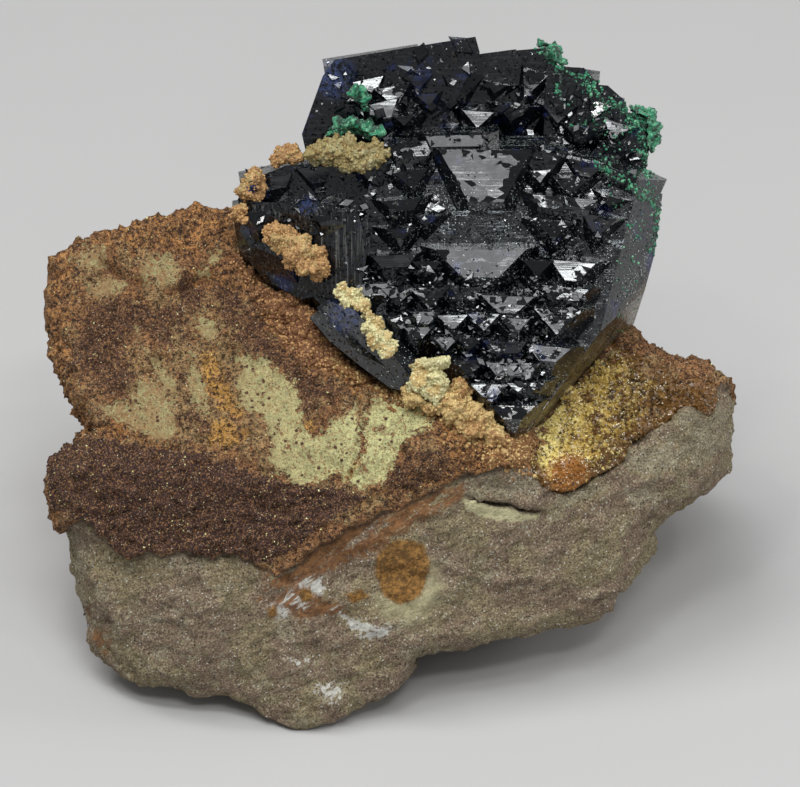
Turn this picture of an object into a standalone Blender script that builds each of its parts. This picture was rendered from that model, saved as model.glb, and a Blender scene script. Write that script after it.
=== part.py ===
"""An azurite specimen: dark stepped azurite crystals standing in a hollow of an iron-stained stone.

The group is modelled on its display face, in millimetres: across to the right, up the face, and
out of it towards whoever looks at it. The face leans back from upright, so the whole group hangs
from one tilted empty, which also stands the stone on the ground.
"""

import math
import random

import bmesh
import bpy
import numpy as np
from mathutils import Matrix, Vector, noise
from mathutils.geometry import intersect_point_line

MM = 0.001
FACE_LEAN = math.radians(35)
SIN_LEAN, COS_LEAN = math.sin(FACE_LEAN), math.cos(FACE_LEAN)
JOINT_GAP = 0.3
SOFT_GAP = 0.45
NEEDLE = 0.0005
CUT_TOLERANCE = 1e-8

# ---- the stone -------------------------------------------------------------------------------

# Its widest outline, clockwise from the upper left: across, up, out.
STONE_CENTRE = (0.0, 24.0)
STONE_OUTLINE = [
    (-14.6, 47.1, -11.0), (-16.7, 47.5, -11.0), (-19.8, 46.7, -10.5), (-23.4, 45.3, -10.5),
    (-26.6, 45.0, -10.5), (-29.6, 43.9, -10.0), (-31.2, 41.5, -9.5), (-31.1, 38.7, -8.5),
    (-30.1, 34.4, -6.5), (-28.2, 30.0, -5.5), (-27.0, 27.8, -5.0), (-28.4, 25.8, -4.0),
    (-30.1, 24.2, -3.5), (-30.5, 22.2, -3.0), (-30.0, 19.5, -3.5), (-29.0, 18.0, -4.0),
    (-28.9, 14.9, -5.0), (-27.7, 10.1, -5.5), (-26.5, 7.4, -5.0), (-24.5, 5.6, -4.0),
    (-21.9, 4.3, -3.0), (-18.5, 4.0, -2.5), (-15.3, 3.2, -1.5), (-12.6, 2.2, -1.0),
    (-10.1, 0.8, -0.4), (-7.9, 0.0, 0.0), (-5.4, 1.3, -0.4), (-2.3, 2.6, -1.0),
    (0.5, 4.0, -1.5), (1.6, 5.4, -2.5), (2.1, 7.2, -3.0), (5.4, 7.8, -4.0),
    (9.9, 8.6, -4.5), (15.3, 9.4, -5.0), (18.5, 10.0, -5.5), (20.0, 11.4, -6.0),
    (20.4, 13.0, -6.0), (21.8, 13.6, -6.5), (23.0, 15.4, -7.0), (23.6, 18.6, -7.0),
    (26.1, 20.6, -7.5), (28.8, 22.0, -8.0), (30.8, 23.8, -8.0), (31.2, 26.7, -8.0),
    (31.4, 29.9, -8.0), (30.9, 31.7, -8.0), (28.4, 33.8, -8.0), (26.4, 33.4, -8.0),
    (24.8, 34.2, -8.5), (22.4, 35.5, -9.0), (18.9, 37.7, -12.0), (13.5, 40.2, -14.0),
    (5.4, 42.8, -14.5), (-4.5, 44.7, -14.5), (-11.7, 46.4, -13.0),
]
EDGE_ROUNDING = 0.42

# The lip of the hollow that the crystals stand in: across, up, left end first.
HOLLOW_LIP = [
    (-14.6, 48.0), (-13.4, 43.8), (-10.8, 40.4), (-8.6, 38.6), (-6.0, 35.4), (-3.0, 32.6),
    (-0.4, 30.6), (2.4, 31.0), (4.4, 31.4), (6.6, 29.6), (9.0, 27.8), (11.4, 26.8),
    (13.2, 27.6), (15.4, 30.2), (18.6, 33.2), (22.6, 36.4), (26.0, 40.0), (26.0, 60.0),
    (-14.0, 60.0),
]
HOLLOW_DEPTH = 8.0
HOLLOW_WALL = 1.1

# The split that runs across the fresh break, below the crystals.
SPLIT_ENDS = ((6.9, 21.6), (14.1, 20.2))
SPLIT_WIDTH, SPLIT_DEPTH = 0.55, 1.3

# Flat breaks on the hidden sides of the standing stone: outward normal and distance.
HIDDEN_BREAKS = [
    ((0.0, 0.0, -1.0), 0.45),
    ((0.30, -0.15, -0.94), 1.2),
    ((-0.50, 0.05, -0.86), 8.0),
    ((0.06, 0.99, 0.12), 40.5),
    ((-0.62, 0.76, 0.18), 51.0),
    ((0.60, 0.78, 0.10), 42.5),
    ((0.05, 0.72, 0.69), 49.0),
    ((0.10, 0.70, -0.70), 27.5),
]
FARTHEST_BACK = -60.0
LEAST_THICKNESS = 1.6

# The front's sloping faces: out, at what place across and up, and its rise across and up.
BAND = (3.4, (0.0, 16.4), 0.0, 0.06)
UPPER_SLOPE = (4.0, (0.0, 26.2), 0.05, -0.56)
DRUSE_SHELF = (2.4, (13.5, 22.2), 0.13, -0.76)
# The fresh break leans back from the foot and falls away to both sides of it.
FOOT_ACROSS = -7.9
BREAK_LEAN, BREAK_FALL = 0.24, 0.0062
BAND_BLEND, BREAK_BLEND = 0.8, 0.5
# Where the upper slope gives way to the shelf, and how far that line leans.
SHELF_START, SHELF_FULL, SHELF_LEAN = 10.5, 15.5, 0.15
# Where the hollow gets shallower to the right, and by how much.
SHALLOW_START, SHALLOW_FULL, SHALLOW_SHARE = 13.0, 19.0, 0.75

# Fractal settings of all lumps: increment, lacunarity and octaves.
LUMP_FRACTAL = (0.9, 2.1, 4)
# Broken-stone lumps: size, height and seed of each.
STONE_LUMPS = [(7.0, 0.55, 3.1), (2.2, 0.2, 8.7)]
STONE_FACES = 3400
BALL_LEVEL = 7
FOOT_LEVEL = 0.05

# ---- the azurite -----------------------------------------------------------------------------

# Every crystal is cut from a block of this size.
BLOCK_SIZE, BLOCK_MIDDLE = 80.0, (0.0, 45.0, 0.0)
BLOCK_TOLERANCE = 1e-5

# Directions of the flat faces that every crystal repeats.
LEDGE = (0.0, 0.97, 0.24)
GLINT = (0.0, 0.22, 0.975)
UNDERCUT = (0.0, -0.62, 0.78)

# Big crystals behind the growth steps: outline on the face, front, back and the front's tilt.
CRYSTALS = {
    "main fan": (
        [(-2.8, 40.0), (-2.8, 46.0), (-1.0, 53.0), (15.0, 52.6), (19.3, 51.6), (24.7, 49.0),
         (24.0, 43.5), (21.8, 35.4), (20.0, 31.0), (14.0, 26.8), (10.4, 27.0)],
        0.3, -11.0, (0.0, 0.04)),
    "top slab": (
        [(-5.0, 61.1), (7.7, 63.1), (8.1, 61.7), (2.2, 50.0), (-7.0, 50.0), (-8.0, 54.4),
         (-6.1, 59.6)], -3.2, -10.0, (-0.08, -0.16)),
    "second slab": (
        [(4.6, 61.2), (11.4, 62.1), (12.0, 61.0), (7.2, 52.0), (3.0, 52.0)],
        -4.6, -11.2, (0.04, -0.14)),
    "third slab": (
        [(9.0, 61.8), (14.1, 62.3), (15.0, 62.1), (15.3, 59.0), (11.4, 52.0), (7.0, 52.0)],
        -5.5, -11.9, (0.14, -0.10)),
    "top right": (
        [(14.2, 60.6), (17.6, 60.5), (18.6, 59.4), (18.9, 50.0), (13.6, 46.0)],
        -5.8, -12.5, (0.20, -0.08)),
    "far right": (
        [(17.0, 59.1), (19.8, 58.9), (21.3, 57.6), (21.8, 56.0), (21.8, 50.0), (16.8, 47.0)],
        -6.4, -12.8, (0.24, -0.06)),
    "last right": (
        [(20.4, 56.4), (22.7, 56.4), (23.6, 55.8), (23.9, 54.6), (23.3, 51.2), (22.9, 48.5),
         (20.0, 46.0)], -7.0, -13.0, (0.28, -0.04)),
    "left column": (
        [(-6.9, 46.0), (-3.0, 47.6), (-2.0, 44.0), (-2.6, 39.6), (-5.6, 40.2), (-6.7, 42.0)],
        1.8, -8.0, (-0.34, -0.03)),
    "left shoulder": (
        [(-13.0, 50.0), (-9.4, 51.5), (-0.5, 52.0), (1.0, 46.0), (-6.0, 44.6), (-12.0, 46.4),
         (-13.8, 48.4)], -2.0, -9.0, (-0.16, -0.12)),
    "left foot": (
        [(-13.6, 45.6), (-12.6, 48.2), (-5.0, 47.8), (-5.0, 40.0), (-8.0, 39.4), (-10.6, 40.8)],
        -0.6, -8.0, (-0.40, -0.30)),
    "leaning blade": (
        [(-7.2, 37.7), (-5.4, 39.1), (-3.2, 38.4), (-1.4, 36.4), (2.4, 31.7), (2.3, 30.9),
         (0.0, 31.4), (-2.7, 33.4), (-5.4, 35.6)], 3.4, -6.0, (-0.42, -0.46)),
    "blade back": (
        [(-6.6, 38.6), (-5.0, 39.6), (-1.0, 37.8), (3.0, 33.4), (2.2, 32.0), (-3.0, 34.6)],
        2.8, -6.0, (0.36, 0.42)),
    "seat": (
        [(-9.0, 46.0), (0.0, 50.0), (14.0, 50.0), (16.0, 34.0), (11.6, 28.4), (-4.0, 36.8),
         (-8.0, 40.6)], -2.2, -10.0, (0.0, 0.0)),
}

# The smooth side of the main fan cuts off its steps: outward direction and a point on it.
FAN_SIDES = [((0.85, -0.20, 0.50), (19.6, 43.2, 2.0)), ((0.80, -0.58, 0.20), (15.6, 33.0, 3.8))]

# Growth steps: left, right, top, out, height of the glinting face, its flare, roll in degrees.
TOP_SLAB_STEPS = [
    (-4.8, 1.6, 60.9, -3.0, 0.7, 0.4, 9), (0.6, 2.4, 60.7, -2.5, 1.1, 1.1, 9),
    (3.4, 6.6, 61.6, -3.1, 1.5, 0.3, 9), (-3.4, -0.6, 59.3, -2.5, 0.9, 0.6, 12),
    (1.2, 3.8, 59.6, -2.2, 1.5, 0.9, 6), (-1.4, 1.8, 58.6, -1.7, 1.7, 0.7, 10),
    (-1.9, 0.7, 57.2, -1.0, 1.5, 0.5, 14), (0.3, 2.2, 55.9, -0.8, 0.8, 1.0, 4),
    (2.4, 4.4, 57.9, -1.9, 1.0, 0.8, 9),
]
MIDDLE_SLAB_STEPS = [
    (5.6, 8.6, 60.2, -4.3, 2.2, 0.2, -24), (8.6, 10.6, 59.0, -3.9, 1.5, 0.9, -12),
    (12.0, 14.4, 60.2, -5.0, 2.6, 0.3, -22), (9.6, 12.6, 56.9, -3.4, 1.3, 0.9, -6),
    (6.6, 9.4, 56.4, -3.0, 1.4, 0.8, -4),
]
TOP_RIGHT_STEPS = [
    (15.2, 17.8, 59.4, -5.8, 1.9, 0.5, -8), (13.8, 16.8, 57.0, -4.8, 1.6, 0.8, -4),
    (17.6, 20.2, 57.4, -6.0, 1.6, 0.7, -16), (16.0, 19.0, 54.9, -4.4, 1.4, 0.9, -8),
    (19.4, 22.0, 55.5, -6.0, 1.5, 0.6, -18), (19.0, 21.8, 53.2, -4.6, 1.3, 0.9, -18),
]
FAN_STEPS = [
    # the top ledge, and the steps just under it
    (-0.4, 4.2, 53.5, 0.3, 1.3, 0.5, 4), (3.2, 8.6, 54.1, 0.5, 1.0, 0.3, 1),
    (4.4, 12.8, 52.8, 1.4, 4.7, 0.42, 0), (12.0, 15.6, 52.6, 0.7, 1.5, 0.4, -7),
    (12.5, 14.3, 50.9, 1.5, 1.1, 0.7, 4), (16.0, 19.4, 51.7, 0.5, 1.3, 0.8, -9),
    (19.0, 23.6, 50.6, 0.1, 1.0, 0.4, -24), (0.3, 3.4, 50.9, 1.3, 2.0, 0.75, 8),
    (14.6, 17.8, 50.2, 1.5, 1.3, 0.9, -5), (18.8, 21.0, 48.6, 1.0, 1.1, 1.0, -16),
    (-3.0, 0.2, 51.4, 0.0, 1.5, 0.6, 10),
    # second row
    (12.8, 18.6, 48.5, 1.8, 1.0, 0.5, -5), (17.2, 20.4, 46.8, 1.6, 1.8, 0.7, -10),
    (13.0, 16.4, 46.3, 2.2, 1.4, 0.9, -2), (-0.6, 2.8, 48.3, 1.6, 1.0, 0.6, 5),
    (-0.4, 2.2, 45.7, 2.0, 0.9, 0.9, 2), (2.2, 4.4, 46.9, 1.8, 1.5, 0.9, -3),
    # third row
    (4.0, 12.2, 43.8, 2.7, 2.5, 0.85, 0), (11.9, 14.6, 42.8, 2.7, 1.0, 0.8, -2),
    (14.4, 18.4, 42.7, 2.5, 1.7, 0.7, -5), (-1.6, 2.4, 43.3, 2.2, 1.1, 0.6, 4),
    (2.0, 4.6, 42.7, 2.6, 1.5, 0.9, 0),
    # fourth row
    (-3.2, 0.4, 40.7, 2.5, 1.0, 0.6, 3), (-0.8, 2.2, 40.3, 2.9, 1.2, 0.9, 0),
    (2.0, 5.0, 40.1, 3.2, 1.7, 0.8, 0), (4.8, 8.2, 40.4, 3.1, 1.0, 0.5, -2),
    (8.2, 12.9, 39.6, 3.5, 1.5, 0.9, -2), (13.6, 17.8, 40.4, 3.0, 1.1, 0.6, -6),
    # fifth row
    (-0.4, 2.0, 37.7, 3.0, 1.0, 0.8, 3), (1.8, 4.5, 38.2, 3.4, 1.1, 0.8, 0),
    (4.2, 7.0, 37.9, 3.6, 1.2, 0.9, 2), (7.0, 9.8, 38.0, 3.9, 1.6, 0.8, 0),
    (9.9, 12.5, 37.6, 4.0, 1.0, 0.7, -3), (12.9, 17.2, 38.4, 3.7, 2.7, 0.8, -3),
    # lowest rows, down to the foot
    (1.3, 3.8, 36.8, 3.5, 1.0, 0.8, 2), (3.9, 6.1, 35.9, 3.9, 1.2, 0.8, 0),
    (6.0, 8.2, 35.8, 4.1, 1.2, 0.9, 0), (8.4, 12.2, 35.5, 4.2, 1.0, 0.6, 0),
    (12.2, 16.2, 35.1, 3.9, 1.3, 0.8, -6), (5.6, 8.5, 33.9, 4.2, 1.6, 0.8, 0),
    (8.6, 13.4, 33.6, 4.4, 1.1, 0.7, -1), (7.2, 10.6, 31.7, 4.4, 1.1, 0.9, 0),
    (10.5, 13.7, 31.8, 4.5, 1.3, 1.1, 0), (8.9, 13.0, 29.8, 4.3, 1.2, 0.9, 0),
]
LEFT_STEPS = [
    (-12.4, -8.8, 50.5, -1.8, 1.2, 0.5, 12), (-8.4, -5.0, 51.3, -1.4, 1.4, 0.7, 4),
    (-13.1, -9.2, 47.4, -0.4, 1.7, 0.45, 8), (-9.0, -6.4, 46.8, 0.4, 1.2, 0.8, -4),
    (-6.8, -3.4, 46.9, 1.9, 0.9, 0.5, 3), (-12.4, -9.8, 44.9, 0.3, 2.4, 0.35, 40),
]
STEP_ROWS = [(TOP_SLAB_STEPS, []), (MIDDLE_SLAB_STEPS, []), (TOP_RIGHT_STEPS, []),
             (FAN_STEPS, FAN_SIDES), (LEFT_STEPS, [])]
STEP_DEPTH, STEP_DROP, STEP_SKIRT = 5.5, 5.5, 1.2
SLOPE_LEAN = 0.62
SIDE_STEP = 0.12
UNEVENNESS = 0.03
CRYSTAL_SEED = 7

# ---- the small crusts ------------------------------------------------------------------------

# Knobbly growths, each a run of balls: across, up, out, radius.
NODULES = {
    "tan_crust_left": [
        (-10.6, 45.2, 1.0, 0.9), (-9.6, 44.8, 1.3, 1.1), (-8.4, 44.0, 1.6, 1.3),
        (-7.4, 43.2, 2.0, 1.2), (-6.8, 42.3, 2.2, 0.9), (-8.8, 42.9, 1.6, 0.8)],
    "pale_bead_crust": [
        (-3.9, 39.6, 3.3, 0.9), (-3.0, 38.6, 3.6, 1.0), (-2.4, 37.6, 4.0, 0.9),
        (-1.5, 36.8, 4.2, 0.9), (-0.8, 35.8, 4.5, 0.8), (0.1, 34.9, 4.6, 0.8)],
    "pale_coral_crust": [
        (2.9, 33.2, 4.2, 0.8), (4.0, 33.4, 4.4, 0.9), (3.6, 32.3, 4.3, 0.9),
        (4.6, 32.1, 4.5, 0.7), (2.3, 31.9, 4.0, 0.7), (3.9, 31.0, 4.2, 0.9)],
    "rim_crust": [
        (1.8, 30.9, 3.4, 0.8), (3.0, 30.5, 3.6, 1.0), (4.6, 30.4, 3.8, 1.3),
        (5.8, 29.6, 3.8, 1.4), (7.0, 28.8, 3.8, 1.3), (8.2, 28.2, 3.8, 1.1),
        (9.2, 27.4, 3.8, 0.9), (6.0, 31.0, 3.6, 0.9), (7.4, 27.4, 3.8, 0.9)],
    "ochre_cap": [
        (-6.6, 52.5, -1.0, 0.9), (-5.4, 52.9, -0.6, 1.1), (-4.0, 52.6, -0.1, 1.3),
        (-2.6, 52.2, 0.3, 1.2), (-1.2, 52.6, 0.3, 1.0), (-3.4, 51.6, 0.3, 0.9)],
    "tan_nodule_upper": [(-12.3, 49.9, -1.4, 1.1), (-12.6, 48.9, -1.3, 1.0)],
    "tan_nodule_lower": [(-13.3, 47.3, -1.0, 0.9), (-12.7, 46.7, -0.8, 0.8)],
    "tan_nodule_top": [
        (-9.0, 52.7, -2.8, 0.8), (-9.9, 52.0, -2.4, 0.7), (-8.4, 51.9, -2.4, 0.7)],
    "malachite_arc": [
        (-5.3, 54.1, -1.3, 0.7), (-4.5, 54.8, -1.5, 0.8), (-3.4, 55.1, -1.5, 0.9),
        (-2.2, 54.9, -1.4, 0.8), (-1.4, 54.2, -1.0, 0.7)],
    "malachite_patch": [(-2.9, 57.8, -1.9, 0.8), (-2.2, 57.2, -1.8, 0.7)],
    "malachite_corner": [
        (13.9, 62.4, -5.9, 0.8), (14.9, 61.8, -5.6, 0.9), (15.2, 60.9, -5.3, 0.7)],
    "malachite_rim": [
        (22.4, 56.5, -7.0, 0.8), (23.3, 56.2, -7.3, 0.8), (23.8, 55.2, -7.3, 0.9),
        (23.8, 54.2, -7.2, 0.8), (23.5, 53.3, -7.2, 0.7)],
}
NODULE_LUMPS = (0.9, 0.22, 5.3)
NODULE_BALL_LEVEL = 3
NODULE_VOXEL = 0.34
NODULE_FACES_PER_BALL = 32

# The drusy floor right of the crystals: its outline on the face.
DRUSE_OUTLINE = [
    (12.5, 27.2), (12.4, 24.6), (13.8, 22.4), (15.9, 22.3), (18.5, 23.9), (20.8, 25.0),
    (21.3, 26.6), (23.3, 27.6), (25.3, 28.7), (26.6, 29.9), (28.0, 28.8), (29.3, 29.8),
    (29.4, 31.2), (28.2, 32.2), (26.6, 32.0), (24.8, 32.8), (22.8, 33.8), (20.6, 35.4),
    (16.6, 35.6), (13.6, 31.6),
]
DRUSE_SPACING = 0.95
DRUSE_RISE, DRUSE_SINK, DRUSE_BUMP = 0.55, 0.75, 0.3
# Its bed in the stone is opened upwards by this many times the joint's gap.
DRUSE_BED_OPENING = 4
DRUSE_SEED = 7

# ---- finishes: name, colour and roughness -----------------------------------------------------
STONE_BROWN = ("iron stained stone", (0.36, 0.25, 0.18), 0.85)
AZURITE_BLUE = ("azurite", (0.008, 0.012, 0.04), 0.12)
DRUSE_OCHRE = ("ochre druse", (0.42, 0.24, 0.07), 0.45)
TAN = ("tan crust", (0.62, 0.38, 0.22), 0.8)
PALE_YELLOW = ("pale crust", (0.66, 0.55, 0.28), 0.8)
MALACHITE_GREEN = ("malachite", (0.02, 0.30, 0.15), 0.7)


def smooth_step(low, high, value):
    """A smooth rise from 0 at low to 1 at high."""
    t = np.clip((value - low) / (high - low), 0.0, 1.0)
    return t * t * (3 - 2 * t)


def soft_min(a, b, blend):
    """The lower of two surfaces, with the crease between them rounded over."""
    h = np.clip(0.5 + 0.5 * (b - a) / blend, 0.0, 1.0)
    return b + (a - b) * h - blend * h * (1 - h)


def segment_distance(across, up, start, end):
    """Distance to a straight line between two points."""
    dx, dy = end[0] - start[0], end[1] - start[1]
    t = np.clip(((across - start[0]) * dx + (up - start[1]) * dy) / (dx * dx + dy * dy), 0, 1)
    return np.hypot(across - start[0] - t * dx, up - start[1] - t * dy)


def inside_distance(across, up, outline):
    """Distance to a closed outline, positive inside it."""
    nearest = np.full(across.shape, np.inf)
    inside = np.zeros(across.shape, bool)
    for (x0, y0), (x1, y1) in zip(outline, outline[1:] + outline[:1]):
        nearest = np.minimum(nearest, segment_distance(across, up, (x0, y0), (x1, y1)))
        if y0 != y1:
            crosses = (y0 > up) != (y1 > up)
            inside ^= crosses & (across < (x1 - x0) * (up - y0) / (y1 - y0) + x0)
    return np.where(inside, nearest, -nearest)


def roughness(place, size, amount, seed):
    """Broken-stone roughness at a place, in millimetres."""
    shifted = Vector(place) / size + Vector((seed, 2 * seed, 3 * seed))
    return amount * noise.fractal(shifted, *LUMP_FRACTAL)


# ---- making and joining solids ---------------------------------------------------------------
def collection(name):
    """A new collection in the scene."""
    made = bpy.data.collections.new(name)
    bpy.context.scene.collection.children.link(made)
    return made


def object_from(shape, name, home):
    """A bmesh becomes an object of the given collection."""
    mesh = bpy.data.meshes.new(name)
    shape.to_mesh(mesh)
    shape.free()
    made = bpy.data.objects.new(name, mesh)
    home.objects.link(made)
    return made


def settle(piece):
    """Fix a piece's modifiers into its mesh."""
    depsgraph = bpy.context.evaluated_depsgraph_get()
    depsgraph.update()
    mesh = bpy.data.meshes.new_from_object(piece.evaluated_get(depsgraph))
    piece.modifiers.clear()
    piece.data = mesh


def combine(piece, operation, others=None, group=None, solver="EXACT"):
    """A Boolean of a piece with another piece, or with all those in a collection."""
    tool = piece.modifiers.new(operation, "BOOLEAN")
    tool.operation = operation
    tool.solver = solver
    if group:
        tool.operand_type = "COLLECTION"
        tool.collection = group
    else:
        tool.object = others
    settle(piece)


def simplify(piece, faces):
    """Thin a piece's mesh out to about that many triangles."""
    tool = piece.modifiers.new("simplify", "DECIMATE")
    tool.ratio = min(1.0, faces / sum(len(p.vertices) - 2 for p in piece.data.polygons))
    tool.use_collapse_triangulate = True
    settle(piece)


def tidy(piece):
    """Weld the needle edges that a Boolean leaves."""
    shape = bmesh.new()
    shape.from_mesh(piece.data)
    bmesh.ops.remove_doubles(shape, verts=shape.verts, dist=NEEDLE * MM)
    bmesh.ops.recalc_face_normals(shape, faces=shape.faces)
    shape.to_mesh(piece.data)
    shape.free()


def keep_largest(piece):
    """Drop the chips that a cut leaves loose."""
    shape = bmesh.new()
    shape.from_mesh(piece.data)
    waiting = set(shape.faces)
    islands = []
    while waiting:
        front = [waiting.pop()]
        island = []
        while front:
            found = front.pop()
            island.append(found)
            for edge in found.edges:
                for neighbour in edge.link_faces:
                    if neighbour in waiting:
                        waiting.remove(neighbour)
                        front.append(neighbour)
        islands.append(island)
    islands.sort(key=lambda faces: sum(f.calc_area() for f in faces))
    chips = [f for island in islands[:-1] for f in island]
    bmesh.ops.delete(shape, geom=chips, context="FACES")
    shape.to_mesh(piece.data)
    shape.free()


# ---- the stone -------------------------------------------------------------------------------
def broken_front(across, up):
    """The fresh break below: it leans back and falls away to both sides of the foot."""
    return BREAK_LEAN * up - BREAK_FALL * (across - FOOT_ACROSS) ** 2


def sloping(face, across, up):
    """How far out one of the front's sloping faces lies."""
    out, (at_across, at_up), rise_across, rise_up = face
    return out + rise_across * (across - at_across) + rise_up * (up - at_up)


def stone_front(across, up):
    """The steep band and the long slope above the break, the shelf, the hollow and the split."""
    left = soft_min(sloping(BAND, across, up), sloping(UPPER_SLOPE, across, up), BAND_BLEND)
    shelf = smooth_step(SHELF_START, SHELF_FULL, across + SHELF_LEAN * (up - STONE_CENTRE[1]))
    top = left * (1 - shelf) + sloping(DRUSE_SHELF, across, up) * shelf
    front = soft_min(broken_front(across, up), top, BREAK_BLEND)
    sunk = smooth_step(0.0, HOLLOW_WALL, inside_distance(across, up, HOLLOW_LIP))
    shallower = 1 - SHALLOW_SHARE * smooth_step(SHALLOW_START, SHALLOW_FULL, across)
    split = smooth_step(SPLIT_WIDTH, 0.0, segment_distance(across, up, *SPLIT_ENDS))
    return front - HOLLOW_DEPTH * sunk * shallower - SPLIT_DEPTH * split


def stone_back(across, up):
    """How far back the flat breaks of the hidden sides let the stone reach."""
    deepest = np.full(across.shape, FARTHEST_BACK)
    for (nx, ny, nz), distance in HIDDEN_BREAKS:
        per_out = nz * SIN_LEAN - ny * COS_LEAN
        reach = (distance - nx * across - (ny * SIN_LEAN + nz * COS_LEAN) * up) / per_out
        deepest = np.maximum(deepest, reach)
    return deepest


def rim_at(around):
    """The outline's distance from the stone's middle and its depth, for angles around it."""
    outline = np.array(STONE_OUTLINE)
    spokes = outline[:, :2] - np.array(STONE_CENTRE)
    angles = np.arctan2(spokes[:, 1], spokes[:, 0])
    order = np.argsort(angles)
    reach = np.interp(around, angles[order], np.hypot(*spokes.T)[order], period=math.tau)
    depth = np.interp(around, angles[order], outline[order, 2], period=math.tau)
    return reach, depth


def rounded_over(surface, rim, from_rim):
    """A front or back surface that curves over to the rim."""
    return rim + (surface - rim) * smooth_step(0.0, EDGE_ROUNDING, from_rim)


def stone_shape():
    """A ball whose rim is the stone's outline, its halves pushed to the front and the back."""
    shape = bmesh.new()
    bmesh.ops.create_icosphere(shape, subdivisions=BALL_LEVEL, radius=1.0)
    ball = np.array([v.co for v in shape.verts])
    around = np.arctan2(ball[:, 1], ball[:, 0])
    reach, rim = rim_at(around)
    share = np.hypot(ball[:, 0], ball[:, 1])
    across = STONE_CENTRE[0] + share * reach * np.cos(around)
    up = STONE_CENTRE[1] + share * reach * np.sin(around)
    front = stone_front(across, up)
    back = np.minimum(stone_back(across, up), front - LEAST_THICKNESS)
    out = rounded_over(np.where(ball[:, 2] > 0, front, back), rim, np.abs(ball[:, 2]))
    for vert, x, y, z in zip(shape.verts, across, up, out):
        vert.co = (x, y, z)
    shape.normal_update()
    rough = [v.co + v.normal * sum(roughness(v.co, *lump) for lump in STONE_LUMPS)
             for v in shape.verts]
    for vert, place in zip(shape.verts, rough):
        vert.co = place * MM
    return shape


def cut_foot(stone):
    """Cut the flat that the stone stands on."""
    upwards = Vector((0, COS_LEAN, SIN_LEAN))
    shape = bmesh.new()
    shape.from_mesh(stone.data)
    cut = bmesh.ops.bisect_plane(
        shape, geom=[*shape.verts, *shape.edges, *shape.faces], dist=CUT_TOLERANCE,
        plane_co=upwards * FOOT_LEVEL * MM, plane_no=-upwards, clear_outer=True,
    )
    rim = [e for e in cut["geom_cut"] if isinstance(e, bmesh.types.BMEdge)]
    bmesh.ops.holes_fill(shape, edges=rim)
    shape.to_mesh(stone.data)
    shape.free()


# ---- the crystals ----------------------------------------------------------------------------
def crystal(faces, grow=0.0):
    """A block cut down by flat faces, each an outward direction and a point on it."""
    shape = bmesh.new()
    bmesh.ops.create_cube(shape, size=BLOCK_SIZE, matrix=Matrix.Translation(BLOCK_MIDDLE))
    for direction, point in faces:
        normal = Vector(direction).normalized()
        cut = bmesh.ops.bisect_plane(
            shape, geom=[*shape.verts, *shape.edges, *shape.faces], dist=BLOCK_TOLERANCE,
            plane_co=Vector(point) + normal * grow, plane_no=normal, clear_outer=True,
        )
        rim = [e for e in cut["geom_cut"] if isinstance(e, bmesh.types.BMEdge)]
        if rim:
            bmesh.ops.holes_fill(shape, edges=rim)
    bmesh.ops.recalc_face_normals(shape, faces=shape.faces)
    bmesh.ops.scale(shape, vec=(MM, MM, MM), verts=shape.verts)
    return shape


def crystal_faces(outline, front, back, tilt):
    """The faces of a big crystal, from its clockwise outline, which bulges outwards, and depths."""
    middle = Vector((sum(x for x, _ in outline), sum(y for _, y in outline), 0)) / len(outline)
    faces = []
    for (x0, y0), (x1, y1) in zip(outline, outline[1:] + outline[:1]):
        faces.append(((y0 - y1, x1 - x0, 0.0), (x0, y0, 0.0)))
    faces.append(((tilt[0], tilt[1], 1.0), middle + Vector((0, 0, front))))
    faces.append(((0.0, 0.0, -1.0), (0.0, 0.0, back)))
    return faces


def step_faces(left, right, top, out, height, flare, roll, uneven):
    """One growth step: a ledge on top, the glinting face, and dark slopes under it."""
    half = (right - left) / 2
    turn = Matrix.Rotation(math.radians(roll), 3, "Z")
    turn = turn @ Matrix.Rotation(uneven.uniform(-UNEVENNESS, UNEVENNESS), 3, "X")
    turn = turn @ Matrix.Rotation(uneven.uniform(-UNEVENNESS, UNEVENNESS), 3, "Y")
    foot = (0, -height, height * GLINT[1] / GLINT[2])
    faces = [
        (LEDGE, (0, 0, 0)), (GLINT, (0, 0, 0)), (UNDERCUT, foot),
        ((-1, -flare, SLOPE_LEAN), (-half, 0, 0)), ((1, -flare, SLOPE_LEAN), (half, 0, 0)),
        ((-1, 0, 0), (-half - STEP_SKIRT, 0, 0)), ((1, 0, 0), (half + STEP_SKIRT, 0, 0)),
        ((0, -1, 0), (0, -STEP_DROP, 0)), ((0, 0, -1), (0, 0, -STEP_DEPTH)),
    ]
    place = Vector(((left + right) / 2, top, out))
    return [(turn @ Vector(normal), place + turn @ Vector(point)) for normal, point in faces]


def fused_crystals(name, home, grow=0.0):
    """All the crystals grown into one body, or the same a little larger."""
    uneven = random.Random(CRYSTAL_SEED)
    group = collection(name + " parts")
    for label, (outline, front, back, tilt) in CRYSTALS.items():
        faces = crystal_faces(outline, front, back, tilt)
        if label == "main fan":
            faces += FAN_SIDES
        object_from(crystal(faces, grow), label, group)
    for row, sides in STEP_ROWS:
        for step in row:
            inset = Vector((uneven.uniform(-SIDE_STEP, 0.0), 0, 0))
            faces = step_faces(*step, uneven) + [(way, Vector(at) + inset) for way, at in sides]
            object_from(crystal(faces, grow), "growth step", group)
    parts = list(group.objects)
    body = parts[0]
    body.name = name
    group.objects.unlink(body)
    home.objects.link(body)
    combine(body, "UNION", group=group)
    for part in parts[1:]:
        bpy.data.objects.remove(part)
    bpy.data.collections.remove(group)
    tidy(body)
    return body


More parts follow.
